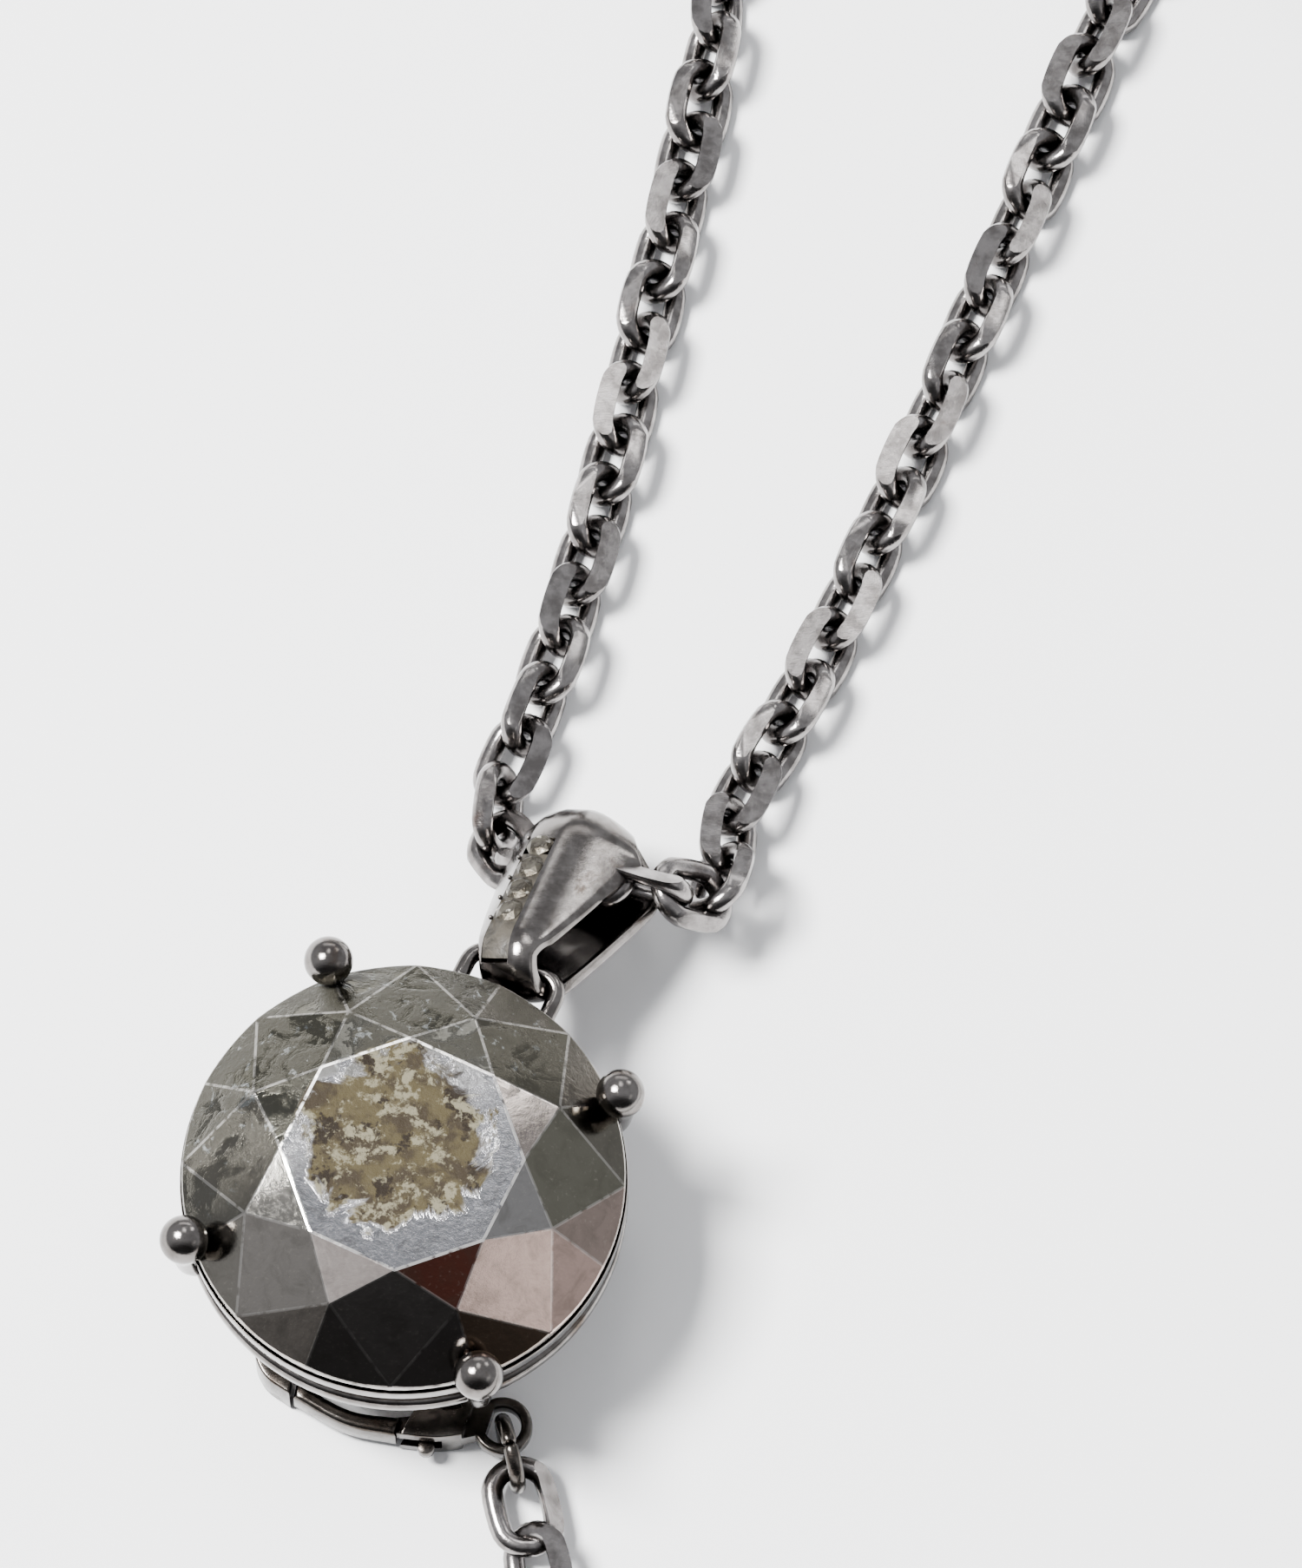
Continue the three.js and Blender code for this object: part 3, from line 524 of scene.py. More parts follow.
def table_patch(tree, where, under):
    """The irregular corroded patch in the middle of the table, with pale and dark speckles."""
    parts = node(tree, "SeparateXYZ", {0: where})
    x = sums(tree, "ADD", parts.outputs["X"], 0.15)
    y = sums(tree, "SUBTRACT", parts.outputs["Y"], 0.4)
    squares = sums(tree, "ADD", sums(tree, "POWER", x, 2.0), sums(tree, "POWER", y, 2.0))
    reach = sums(tree, "SQRT", squares, 0.0)
    ragged = sums(tree, "MULTIPLY", noise(tree, where, 0.75, 7.0, 0.66, 0.9), 2.6)
    ragged_reach = sums(tree, "ADD", reach, ragged)
    inside = between(tree, ragged_reach, 3.2, 3.5, 1.0, 0.0)
    on_top = between(tree, parts.outputs["Z"], TABLE_Z - 0.05, TABLE_Z - 0.02)
    patch = sums(tree, "MULTIPLY", inside, on_top)
    clumps = between(tree, noise(tree, where, 1.3, 5.0, 0.62, 0.3), 0.42, 0.56)
    ochre = mixed(tree, clumps, colour("#2a2318"), colour("#3e3724"))
    dark = between(tree, noise(tree, where, 1.1, 6.0, 0.66, 0.2), 0.54, 0.58)
    speckled = mixed(tree, dark, ochre, colour("#1a130a"))
    light = between(tree, noise(tree, where, 2.3, 6.0, 0.72, 0.2), 0.51, 0.6)
    crumbs = mixed(tree, light, speckled, colour("#6a6553"))
    return mixed(tree, patch, under, crumbs), patch


def melee_material():
    """Small stones gone dull and brown, with a few painted glints."""
    material, tree, shader, where = new_material("tarnished_melee", Metallic=0.85, Coat_Weight=0.15)
    cloud = noise(tree, where, 2.4, 5.0, 0.65, 0.5)
    tone = mixed(tree, between(tree, cloud, 0.35, 0.65), colour("#2b261e"), colour("#57534a"))
    # Painted highlights: pale specks in the base colour stand for glints.
    painted_glints = between(tree, noise(tree, where, 4.5, 4.0), 0.62, 0.72)
    join(tree, mixed(tree, painted_glints, tone, colour("#c9c3b6")), shader, "Base Color")
    join(tree, between(tree, cloud, 0.3, 0.7, 0.2, 0.45), shader, "Roughness")
    bumped(tree, shader, noise(tree, where, 9.0, 5.0, 0.7), 0.35, 0.05)
    return material


def grime_material():
    """The brown, dusty grime that fills the channel round the small stones."""
    material, tree, shader, where = new_material("channel_grime", Metallic=0.3)
    lumps = noise(tree, where, 2.2, 6.0, 0.7, 0.4)
    tone = mixed(tree, between(tree, lumps, 0.35, 0.65), colour("#1b1710"), colour("#3d382f"))
    join(tree, tone, shader, "Base Color")
    join(tree, between(tree, lumps, 0.3, 0.7, 0.3, 0.6), shader, "Roughness")
    bumped(tree, shader, lumps, 0.6, 0.08)
    return material


def floor_material():
    material, tree, shader, where = new_material("pale_floor", Roughness=0.85)
    tone = mixed(tree, noise(tree, where, 0.02, 3.0), (0.92, 0.92, 0.92, 1), (0.95, 0.95, 0.95, 1))
    join(tree, tone, shader, "Base Color")
    return material


BRIGHT = polished_metal("pendant_metal", "#777370", "#5b5754", "#4a3d32", (0.56, 0.78), 0.5, 0.07)
CHAIN = polished_metal("chain_metal", "#8f8b89", "#696563", "#524742", (0.6, 0.8), 0.55, 0.12)
# Painted shade: a darker copy of the white metal, for the clasp lying in the pendant's shadow; its
# rings share it.
SHADED_FITTING = polished_metal("clasp_metal", "#595551", "#3f3b37", "#332b25", (0.45, 0.72), 0.6, 0.14)
STONE = main_stone_material()
MELEE = melee_material()
GRIME = grime_material()


# ---- Camera, light and floor ----
def add_camera():
    data = bpy.data.cameras.new("camera")
    data.lens = CAMERA_LENS
    data.sensor_width = 36
    data.sensor_fit = "AUTO"
    data.clip_start = 0.01
    camera = bpy.data.objects.new("camera", data)
    camera.location = [c * MM for c in CAMERA_PLACE]
    camera.rotation_euler = (math.radians(CAMERA_TILT), 0, 0)
    bpy.context.scene.collection.objects.link(camera)
    bpy.context.scene.camera = camera


def add_light(name, place, size, power):
    data = bpy.data.lights.new(name, "AREA")
    data.shape = "RECTANGLE"
    data.size, data.size_y = (s * MM for s in size)
    data.energy = power
    light = bpy.data.objects.new(name, data)
    light.location = Vector(place) * MM
    aim = Vector(LIGHTS_AIM) * MM - light.location
    light.rotation_euler = aim.to_track_quat("-Z", "Y").to_euler()
    bpy.context.scene.collection.objects.link(light)


def add_studio():
    """A pale world, dark behind the viewer, and five soft lights."""
    world = bpy.data.worlds.new("studio")
    world.use_nodes = True
    tree = world.node_tree
    background = tree.nodes["Background"]
    background.inputs["Strength"].default_value = 0.85
    towards = node(tree, "SeparateXYZ", {0: node(tree, "TexCoord").outputs["Generated"]})
    behind_viewer = between(tree, towards.outputs["Y"], -0.8, -0.25)
    shades = mixed(tree, behind_viewer, (0.1, 0.1, 0.105, 1), (0.93, 0.95, 1.0, 1))
    join(tree, shades, background, "Color")
    bpy.context.scene.world = world
    add_light("key_softbox", (-150, 30, 280), (90, 100), 4.4)
    add_light("flat_panel", (6, 174, 320), (56, 105), 0.14)
    add_light("white_softbox", (150, 165, 160), (45, 45), 0.06)
    add_light("warm_softbox", (200, -110, 150), (80, 60), 0.012)
    add_light("back_strip", (20, 330, 150), (260, 50), 0.15)


def add_floor():
    corners = [(x * FLOOR_HALF, y * FLOOR_HALF, 0) for x, y in ((-1, -1), (1, -1), (1, 1), (-1, 1))]
    mesh = bpy.data.meshes.new("floor")
    mesh.from_pydata([Vector(c) * MM for c in corners], [], [(0, 1, 2, 3)])
    mesh.materials.append(floor_material())
    floor = bpy.data.objects.new("floor", mesh)
    bpy.context.scene.collection.objects.link(floor)


add_camera()
add_studio()
add_floor()


# ---- Chain ----
def oval_loop(length, width, wire_size, around, sides):
    """A closed loop of round wire in the XY plane, its long way along X."""
    bend = (width - wire_size) / 2
    straight = (length - width) / 2
    line = []
    for i in range(around):
        a = 2 * math.pi * i / around
        along = straight * max(-1.0, min(1.0, LINK_SQUARENESS * math.cos(a)))
        line.append((along + bend * math.cos(a), bend * math.sin(a), 0))
    return wire(line, wire_size / 2, sides, closed=True)


def flat_cut_link(around, sides, lean):
    """A link with two flat cut faces, square to a line that leans over its side wires."""
    bm = bmesh_of(*oval_loop(LINK_LENGTH, LINK_WIDTH, LINK_WIRE, around, sides))
    for sign, flat in ((1, LINK_FLAT), (-1, LINK_FLAT_BELOW)):
        up = Vector((0, lean * sign, sign)).normalized()
        slice_off(bm, up * flat, up)
    bmesh.ops.recalc_face_normals(bm, faces=bm.faces)
    return taken(bm)


FINE_LINKS = {lean: flat_cut_link(36, 14, lean) for lean in (1, -1)}
LIGHT_LINKS = {lean: flat_cut_link(20, 8, lean) for lean in (1, -1)}
UP = Vector((0, 0, 1))


def link_frame(centre, axis, normal):
    """The same placing of a link as in part.mjs: its axis, its side and its square normal."""
    side = normal.cross(axis).normalized()
    columns = Matrix((axis, side, axis.cross(side))).transposed().to_4x4()
    return Matrix.Translation(centre) @ columns


def link_lean(place):
    """Which diagonal of the link carries its cut faces, so that one of them faces up."""
    side, normal = place.col[1].to_3d(), place.col[2].to_3d()
    return 1 if side.dot(UP) * normal.dot(UP) >= 0 else -1


def shaped_links(start, directions, sign):
    """Walks away from the link in the bail, each link square to the last."""
    centre, before, normal = start.translation, start.col[0].to_3d(), start.col[1].to_3d()
    places = []
    for direction in directions:
        now = Vector(direction).normalized()
        centre = centre + (before + now) * (sign * LINK_PITCH / 2)
        normal = (normal - now * normal.dot(now)).normalized()
        place = link_frame(centre, now, normal)
        places.append(place)
        normal, before = place.col[1].to_3d(), now
    return places


def even_joints(line):
    """Points on the line that are exactly a link's pitch apart, from its start."""
    dense = [Vector(p) for p in smooth_line(line, 24)]
    joints = [dense[0]]
    for a, b in zip(dense, dense[1:]):
        while (b - joints[-1]).length >= LINK_PITCH:
            low, high = 0.0, 1.0
            for _ in range(30):
                middle = (low + high) / 2
                short = (a.lerp(b, middle) - joints[-1]).length < LINK_PITCH
                low, high = (middle, high) if short else (low, middle)
            joints.append(a.lerp(b, high))
    return joints


def strand_places(joints, first_normal):
    """Links between the joints, from the first one's roll to 45 degrees each way, unevenly."""
    places = []
    offset = None
    rock = random.Random(11)
    for i, (a, b) in enumerate(zip(joints, joints[1:])):
        axis = (b - a).normalized()
        level = UP.cross(axis).normalized()
        square = axis.cross(level)
        if offset is None:
            angle = math.atan2(first_normal.dot(level), first_normal.dot(square))
            quarter = math.pi / 2
            target = (math.floor(angle / quarter) + 0.5) * quarter
            offset = angle - target
        roll = target + i * math.pi / 2 + offset * max(0.0, 1 - i / SETTLE_LINKS)
        roll += math.radians(rock.uniform(-LINK_ROCK, LINK_ROCK)) * min(1.0, i / SETTLE_LINKS)
        normal = square * math.cos(roll) + level * math.sin(roll)
        places.append(link_frame((a + b) / 2, axis, normal))
    return places


def chain_shape(places):
    """All the links of a strand as one mesh."""
    shapes = []
    for place in places:
        links = FINE_LINKS if in_view(place.translation) else LIGHT_LINKS
        shapes.append(moved(links[link_lean(place)], place))
    return together(*shapes)


def coil_line():
    """The flat spiral, from the end of the left route to its inner end."""
    x, y = COIL_CENTRE
    outer = COIL_MEAN_RADIUS + COIL_PITCH * COIL_TURNS / 2
    steps = 24 * COIL_TURNS
    points = []
    for i in range(1, steps + 1):
        radius = outer - COIL_PITCH * COIL_TURNS * i / steps
        a = math.pi - 2 * math.pi * COIL_TURNS * i / steps
        points.append((x + radius * math.cos(a), y + radius * math.sin(a), STRAND_Z))
    return points


def in_view(point):
    right, near, far = FINE_WITHIN
    return point.x < right and near < point.y < far


def add_strand(name, before, sign, line, nodes):
    """The loose links along a line, from the outer end of the link before them."""
    start = before.translation + before.col[0].to_3d() * (sign * LINK_PITCH / 2)
    joints = even_joints([start] + line)
    places = strand_places(joints, before.col[1].to_3d())
    strand = piece(name, chain_shape(places), CHAIN, "chain", sharp=LINK_SHARP)
    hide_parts(*nodes)
    return strand, [tuple(j * MM) for j in joints]


def on_table(route):
    """The route at the chain's own height, a little higher where its first links stand upright."""
    (x0, y0), (x1, y1) = route[:2]
    first = [(x0, y0, STRAND_Z + 0.22), (x1, y1, STRAND_Z + 0.05)]
    return first + [(x, y, STRAND_Z) for x, y in route[2:]]


through_axis = BAIL.col[0].to_3d()
through_level = Vector((through_axis.y, -through_axis.x, 0)).normalized()
through_normal = through_level.cross(through_axis).normalized()
through = link_frame(BAIL @ Vector((LINK_IN_BAIL, BAIL_REACH, 0)), through_axis, through_normal)
right_places = shaped_links(through, RIGHT_LINKS, 1)
left_places = shaped_links(through, LEFT_LINKS, -1)


def add_shaped_links():
    named = [("through_link", "bail_link", through)]
    for side, places in (("left", left_places), ("right", right_places)):
        for i, place in enumerate(places):
            named.append((f"{side}_chain_link_{i + 1}", f"{side}_link_{i + 1}", place))
    for name, replaced, place in named:
        add_link(name, place, replaced, link_lean(place))


def add_link(name, place, replaced, lean=1):
    link = piece(name, FINE_LINKS[lean], CHAIN, "chain", place, sharp=LINK_SHARP)
    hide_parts(replaced)
    return link


def clasp_end_place():
    """The ring through the clasp's eye, and the chain's last link beyond it."""
    a = math.radians(CLASP_LEAD)
    lead = Vector((math.cos(a), math.sin(a), 0))
    middle = RING_RADIUS - RING_WIRE / 2
    ring_centre = Vector((*CLASP_PLACE, RING_RADIUS + TABLE_GAP)) + lead * (middle - 0.02)
    ring = link_frame(ring_centre, lead, Vector((lead.y, -lead.x, 0)))
    inner = middle - RING_WIRE / 2 - LINK_WIRE / 2 - RING_CLEARANCE
    link_centre = ring_centre + lead * (inner + (LINK_LENGTH - LINK_WIRE) / 2)
    link_centre.z = LAST_LINK_Z
    return ring, link_frame(link_centre, lead, UP)


ring_place, last_link_place = clasp_end_place()


def end_place():
    """The chain's other last link inside the coil, and the ring that leans on it."""
    a = math.radians(END_LINK_TURN)
    lead = Vector((math.cos(a), math.sin(a), 0))
    inner = COIL_MEAN_RADIUS - COIL_PITCH * COIL_TURNS / 2
    centre = Vector((COIL_CENTRE[0] - inner, COIL_CENTRE[1], END_LINK_Z)) + lead * (LINK_PITCH / 2)
    level = Vector((-lead.y, lead.x, 0))
    tilt = math.radians(END_RING_TILT)
    down = lead * math.cos(tilt) - UP * math.sin(tilt)
    middle = RING_RADIUS - RING_WIRE / 2
    held = centre + lead * (LINK_LENGTH / 2 - LINK_WIRE - RING_WIRE / 2 - 0.02)
    held.z = 0.04 + RING_WIRE / 2 + 2 * middle * math.sin(tilt)
    ring = link_frame(held + down * middle, down, lead * math.sin(tilt) + UP * math.cos(tilt))
    return link_frame(centre, lead, level), ring


end_link_place, end_ring_place = end_place()


def jump_ring(name, place, body, replaced):
    """A round ring of wire with the small gap where it was closed."""
    start = 90 + RING_GAP / 2
    line = arc(0, 0, RING_RADIUS - RING_WIRE / 2, start, start + 360 - RING_GAP, 48)
    shape = wire([(x, y, 0) for x, y in line], RING_WIRE / 2, 14)
    ring = piece(name, shape, SHADED_FITTING, body, place)
    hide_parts(replaced)
    return ring


# ---- Main stone ----
def stone_points():
    """The corners of a round brilliant, from which its facets' planes are taken."""
    half = FACET_STEP / 2
    slope = (TABLE_Z - GIRDLE_TOP) / (STONE_RADIUS - TABLE_RADIUS)
    star_z = TABLE_Z - slope * (STAR_RADIUS * math.cos(math.radians(half)) - TABLE_RADIUS)
    lower = LOWER_HALF_RADIUS * math.cos(math.radians(half))
    lower_z = CULET_Z + (GIRDLE_BOTTOM - CULET_Z) / STONE_RADIUS * lower
    points = [(0, 0, CULET_Z)]
    for k in range(8):
        corner, middle = FACET_STEP * k + half, FACET_STEP * k
        points.append(polar(TABLE_RADIUS, corner, TABLE_Z))
        points.append(polar(STAR_RADIUS, middle, star_z))
        points.append(polar(LOWER_HALF_RADIUS, middle, lower_z))
        for angle in (corner, middle):
            points.append(polar(STONE_RADIUS, angle, GIRDLE_TOP))
            points.append(polar(STONE_RADIUS, angle, GIRDLE_BOTTOM))
    return points


# Painted reflections of the crown's facets: each tone stands for the light or shade the facet mirrors,
# tinted by the stone's tarnish. Anticlockwise from the viewer's right.
TABLE_REFLECTION_TONE = "#8f8f92"
GIRDLE_REFLECTION_TONE = "#6b6862"
STAR_REFLECTION_TONES = ["#8f8680", "#565550", "#52514c", "#504f48", "#83807a", "#dccfc6", "#553129", "#858381"]
KITE_REFLECTION_TONES = ["#67655b", "#555249", "#4d4b42", "#4e4c43", "#605d56", "#8a857f", "#7a7672", "#c4aa9e"]
HALF_REFLECTION_TONES = [
    "#605d55", "#5a554e", "#5a564f", "#4a4841", "#434138", "#54524a", "#4c4a41", "#5d5b54",
    "#595751", "#7a766f", "#8d867e", "#6e6a66", "#6a6663", "#6b5a4c", "#b39a8f", "#8c7d75",
]
FIRST_STAR = 19.4  # the world azimuth of the first star facet, in degrees

# How steep each kind of facet can be, in degrees, and the least of the girdle.
TABLE_STEEP, STAR_STEEP, KITE_STEEP, GIRDLE_STEEP = 3, 28, 36, 85


def facet_reflection_tone(normal, azimuth):
    """The facet's painted reflection tone, from how steep it is and which way it faces."""
    steep = math.degrees(math.acos(max(-1.0, min(1.0, normal.z))))
    past_first = azimuth - FIRST_STAR
    half = FACET_STEP / 2
    if steep < TABLE_STEEP:
        return colour(TABLE_REFLECTION_TONE)
    if steep > GIRDLE_STEEP:
        return colour(GIRDLE_REFLECTION_TONE)
    if steep < STAR_STEEP:
        return colour(STAR_REFLECTION_TONES[round(past_first / FACET_STEP) % 8])
    if steep < KITE_STEEP:
        return colour(KITE_REFLECTION_TONES[round((past_first + half) / FACET_STEP) % 8])
    return colour(HALF_REFLECTION_TONES[round((past_first + half / 2) / half) % 16])


def facet_planes():
    """A point on each facet of the crown and pavilion, with its outward normal."""
    bm = bmesh_of(stone_points(), [])
    bmesh.ops.convex_hull(bm, input=bm.verts)
    bm.normal_update()
    bmesh.ops.dissolve_limit(bm, angle_limit=math.radians(0.5), verts=bm.verts, edges=bm.edges)
    bm.normal_update()
    planes = [(f.verts[0].co.copy(), f.normal.copy()) for f in bm.faces if abs(f.normal.z) > 0.1]
    bm.free()
    return planes


def add_main_stone():
    """A round blank cut by every facet's plane, so the girdle is round and scalloped."""
    planes = facet_planes()
    blank = [(0, CULET_Z), (STONE_RADIUS, CULET_Z), (STONE_RADIUS, TABLE_Z), (0, TABLE_Z)]
    bm = bmesh_of(*turned(blank, 96))
    for point, normal in planes:
        slice_off(bm, point, normal)
    bmesh.ops.remove_doubles(bm, verts=bm.verts, dist=1e-4)
    bmesh.ops.dissolve_limit(bm, angle_limit=math.radians(0.5), verts=bm.verts, edges=bm.edges)
    bm.normal_update()
    keen = [e for e in bm.edges if len(e.link_faces) == 2 and e.calc_face_angle() > math.radians(6)]
    bmesh.ops.bevel(bm, geom=keen, offset=WORN_EDGE, segments=2, affect="EDGES", profile=0.5)
    stone = piece("brilliant_stone", taken(bm), STONE, "pendant", PENDANT, sharp=5)
    paint_facets(stone.data, [PENDANT.to_3x3() @ normal for _, normal in planes])
    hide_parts("main_stone")


def paint_facets(mesh, facets):
    """Stores each face's painted reflection tone, and marks the worn strips between facets."""
    reflection_tones, edges = [], []
    for face in mesh.polygons:
        facet = max(facets, key=lambda n: n.dot(face.normal))
        reflection_tones += facet_reflection_tone(facet, math.degrees(math.atan2(facet.y, facet.x)))
        by_table = face.center.z > (TABLE_Z - 1.5 * WORN_EDGE) * MM
        worn = 1.0 if by_table else 0.18
        edges.append(0.0 if facet.dot(face.normal) > 0.99995 else worn)
    mesh.attributes.new("facet", "FLOAT_COLOR", "FACE").data.foreach_set("color", reflection_tones)
    mesh.attributes.new("edge", "FLOAT", "FACE").data.foreach_set("value", edges)


# ---- Setting ----
def add_cup():
    corners = [
        (0, 0), (FOOT_RADIUS, 0), (FOOT_RADIUS + 0.12, 0.5), (FOOT_RADIUS + 0.55, 1.35),
        (FOOT_RADIUS + 1.6, 2.15), (4.17, 2.76), (4.42, 2.96), (4.42, 3.49), (CUP_RADIUS, 3.49),
        (CUP_RADIUS, RIM_BOTTOM), (RIM_RADIUS, RIM_BOTTOM + 0.03), (RIM_RADIUS, RIM_TOP),
        (4.95, 4.33), (4.52, 3.99), (4.52, 3.75), (4.17, 3.46), (4.17, 3.01), (3.05, 2.35),
        (1.85, 1.5), (1.45, 0.6), (1.2, 0.3), (0, 0.3),
    ]
    inner = rounded_profile(corners[1:-1], 0.12)
    cup = piece("stone_cup", turned([corners[0]] + inner + [corners[-1]]), BRIGHT, "pendant", PENDANT)
    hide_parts("setting_cup")


def add_gallery():
    corners = [
        (4.45, GALLERY_BOTTOM), (RIM_RADIUS, GALLERY_BOTTOM), (RIM_RADIUS, GROOVE_BOTTOM),
        (4.45, GROOVE_BOTTOM),
    ]
    ring = piece("cup_gallery", turned(rounded_profile(corners, 0.2, 6)), BRIGHT, "pendant", PENDANT)
    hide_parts("gallery_ring")


def prong_shape():
    """A stem that widens upwards from the gallery, and the ball it ends in."""
    stations = [
        (4.86, GALLERY_BOTTOM - 0.16, 0.13),
        (4.96, GALLERY_BOTTOM + 0.1, 0.22),
        (5.12, 3.5, 0.27),
        (5.2, RIM_TOP, 0.32),
        (5.24, GIRDLE_TOP, 0.37),
        (5.21, PRONG_BALL_Z - 0.18, 0.43),
    ]
    line = smooth_line([(0, y, z) for y, z, _ in stations], 5)
    sizes = np.interp(range(len(line)), np.arange(len(stations)) * 5, [r for _, _, r in stations])
    head = ball((0, PRONG_BALL_REACH, PRONG_BALL_Z), PRONG_BALL_RADIUS, 36, 24)
    return together(wire(line, sizes, 20), head)


def add_prongs():
    for i in range(PRONG_COUNT):
        place = PENDANT @ turn("Z", 45 + 360 / PRONG_COUNT * i)
        prong = piece(f"ball_prong_{i + 1}", prong_shape(), BRIGHT, "pendant", place)
        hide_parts(f"prong_{i + 1}")


def add_hanger():
    """A wire loop whose two feet are soldered into the groove."""
    side = HANGER_SPAN / 2
    corner = HANGER_CORNER
    straight_to = HANGER_BAR - corner
    line = [(-side, HANGER_FOOT), (-side, straight_to)]
    line += arc(-side + corner, straight_to, corner, 165, 90, 6)
    line += arc(side - corner, straight_to, corner, 90, 15, 6)
    line += [(side, straight_to), (side, HANGER_FOOT)]
    shape = wire([(x, y, HANGER_Z) for x, y in line], HANGER_WIRE / 2, 16)
    hanger = piece("hanger_wire", shape, BRIGHT, "pendant", PENDANT)
    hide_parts("hanger_loop")


# ---- Bail ----
def bail_tilt():
    return math.asin((BAIL_CHAIN_RADIUS - BAIL_PIVOT_RADIUS) / (BAIL_REACH - BAIL_SEAT))


def bezier(knots):
    """Twenty points on the Bezier curve with those knots, as a row of each coordinate."""
    t = np.linspace(0, 1, 20)[:, None]
    rows = [np.array(k, float) for k in knots]
    while len(rows) > 1:
        rows = [a * (1 - t) + b * t for a, b in zip(rows, rows[1:])]
    return rows[0].T


def bail_half_width(y):
    """Half the bail's width, from its narrow foot to its shoulders and round its top."""
    shoulder = (3.35, BAIL_SHOULDER)
    rise = bezier([(-0.5, BAIL_BOTTOM), (0.75, 1.22), shoulder])
    top = bezier([shoulder, (4.25, BAIL_SHOULDER), (4.65, 1.45), (4.8, 0.95)])
    return float(np.interp(y, *np.hstack((rise, top[:, 1:]))))


FRONT_ENDS = ((BAIL_SEAT, BAIL_PIVOT_RADIUS), (BAIL_REACH, BAIL_CHAIN_RADIUS))


def bail_stations():
    """Points round the inside of the loop, each with its outward direction and how much it is front."""
    slope = math.degrees(bail_tilt())
    foot, head = FRONT_ENDS
    up = 90 + slope
    out = []

    def station(place, degrees, front):
        a = math.radians(degrees)
        out.append((*place, math.cos(a), math.sin(a), front))

    start = channel_at(CHANNEL_START)
    end = channel_at(CHANNEL_END)
    for f in [0, start - 0.01, start, *np.linspace(start, end, 20)[1:-1], end, end + 0.01]:
        station(on_straight(foot, head, up, f), up, 1.0)
    for i in range(25):
        angle = up - (180 + 2 * slope) * i / 24
        station(on_circle(*head, angle), angle, 1.0 - i / 24)
    for f in np.linspace(0, 1, 12)[1:-1]:
        station(on_straight(head, foot, -up, f), -up, 0.0)
    for i in range(26):
        angle = -up - (180 - 2 * slope) * i / 26
        station(on_circle(*foot, angle), angle, i / 26)
    return out


def on_circle(centre, radius, degrees):
    a = math.radians(degrees)
    return centre + radius * math.cos(a), radius * math.sin(a)


def on_straight(start, end, degrees, share):
    """A point on the straight between two circles, which it leaves and meets at that angle."""
    a, b = (on_circle(*circle, degrees) for circle in (start, end))
    return a[0] + (b[0] - a[0]) * share, a[1] + (b[1] - a[1]) * share


def channel_at(along):
    """How far up the front's straight a distance along the bail lies, as a fraction."""
    run = (BAIL_REACH - BAIL_SEAT) * math.cos(bail_tilt())
    return (along - BAIL_SEAT) / run if along > BAIL_SEAT else 0.012


def bail_section(width, front, sunk):
    """The band's cross-section as (x, height): the outside one way, then the inside back."""
    shares = [1.0, 0.985, 0.95, 0.89, 0.8, 0.68, 0.54, 0.4, 0.26, 0.12]
    channel = min(CHANNEL_HALF, 0.6 * width)
    middle = max(CHANNEL_SIDE, channel + 0.06 - width)
    left, right = middle - channel, middle + channel
    xs = [left - (width + left) * f for f in shares]
    xs += [left - 0.015, left, middle, right, right + 0.015]
    xs += [right + (width - right) * f for f in reversed(shares)]
    top = []
    for x in xs:
        depth = CHANNEL_DEPTH if sunk and left - 1e-6 <= x <= right + 1e-6 else 0.0
        top.append((x, bail_height(x, front, width) - depth))
    low = [(x, bail_under(x, front, width)) for x in reversed(xs[1:-1])]
    return top + low


def flank_fall(x, front):
    """How far the band has dropped below its ridge, as a smooth dome."""
    away = max(0.0, abs(x) - BAIL_RIDGE)
    return BAIL_FLANK * away**1.45 * (0.3 + 0.7 * front)


def bail_height(x, front, width):
    """The outside of the band: domed, and rounded over at its edges."""
    edge = max(0.0, abs(x) - (width - 0.09)) / 0.09
    rounding = 0.09 * (1 - math.sqrt(max(0.0, 1 - edge * edge)))
    return BAIL_WALL - flank_fall(x, front) - rounding


def bail_under(x, front, width):
    """The inside of the band, which keeps the sheet's thickness down the flanks."""
    edge = max(0.0, abs(x) - (width - 0.08)) / 0.08
    return 0.05 * edge - 0.8 * flank_fall(x, front)


def ring_round(station, section):
    """A section of (x, height) stood on the loop at a station."""
    y, z, ny, nz, _ = station
    return [(x, y + ny * height, z + nz * height) for x, height in section]


def add_bail():
    rings = []
    for station in bail_stations():
        y, _, ny, _, front = station
        width = bail_half_width(y + BAIL_WALL * ny)
        rings.append(ring_round(station, bail_section(width, front, is_in_channel(station))))
    shape = rings_to_shape(rings, closed=True)
    bail = piece("bail_band", welded(*shape), BRIGHT, "bail", BAIL, sharp=38)
    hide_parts("bail")


def is_in_channel(station):
    """True along the front's straight, and on round the foot where the front leg curls under."""
    y, z, _, _, front = station
    along_front = front == 1.0 and y <= on_front_y(CHANNEL_END) + 1e-3
    on_foot = CHANNEL_FOOT <= front < 1.0 and y < BAIL_SEAT and z > 0
    return along_front or on_foot


def on_front_y(along):
    return on_straight(*FRONT_ENDS, 90 + math.degrees(bail_tilt()), channel_at(along))[0]


def front_frame():
    """The frame of the ridge's surface: +Y along the bail and +Z out of it."""
    tilt = bail_tilt()
    lift = BAIL_PIVOT_RADIUS + BAIL_WALL
    return BAIL @ shift(0, BAIL_SEAT, 0) @ Matrix.Rotation(tilt, 4, "X") @ shift(0, 0, lift)


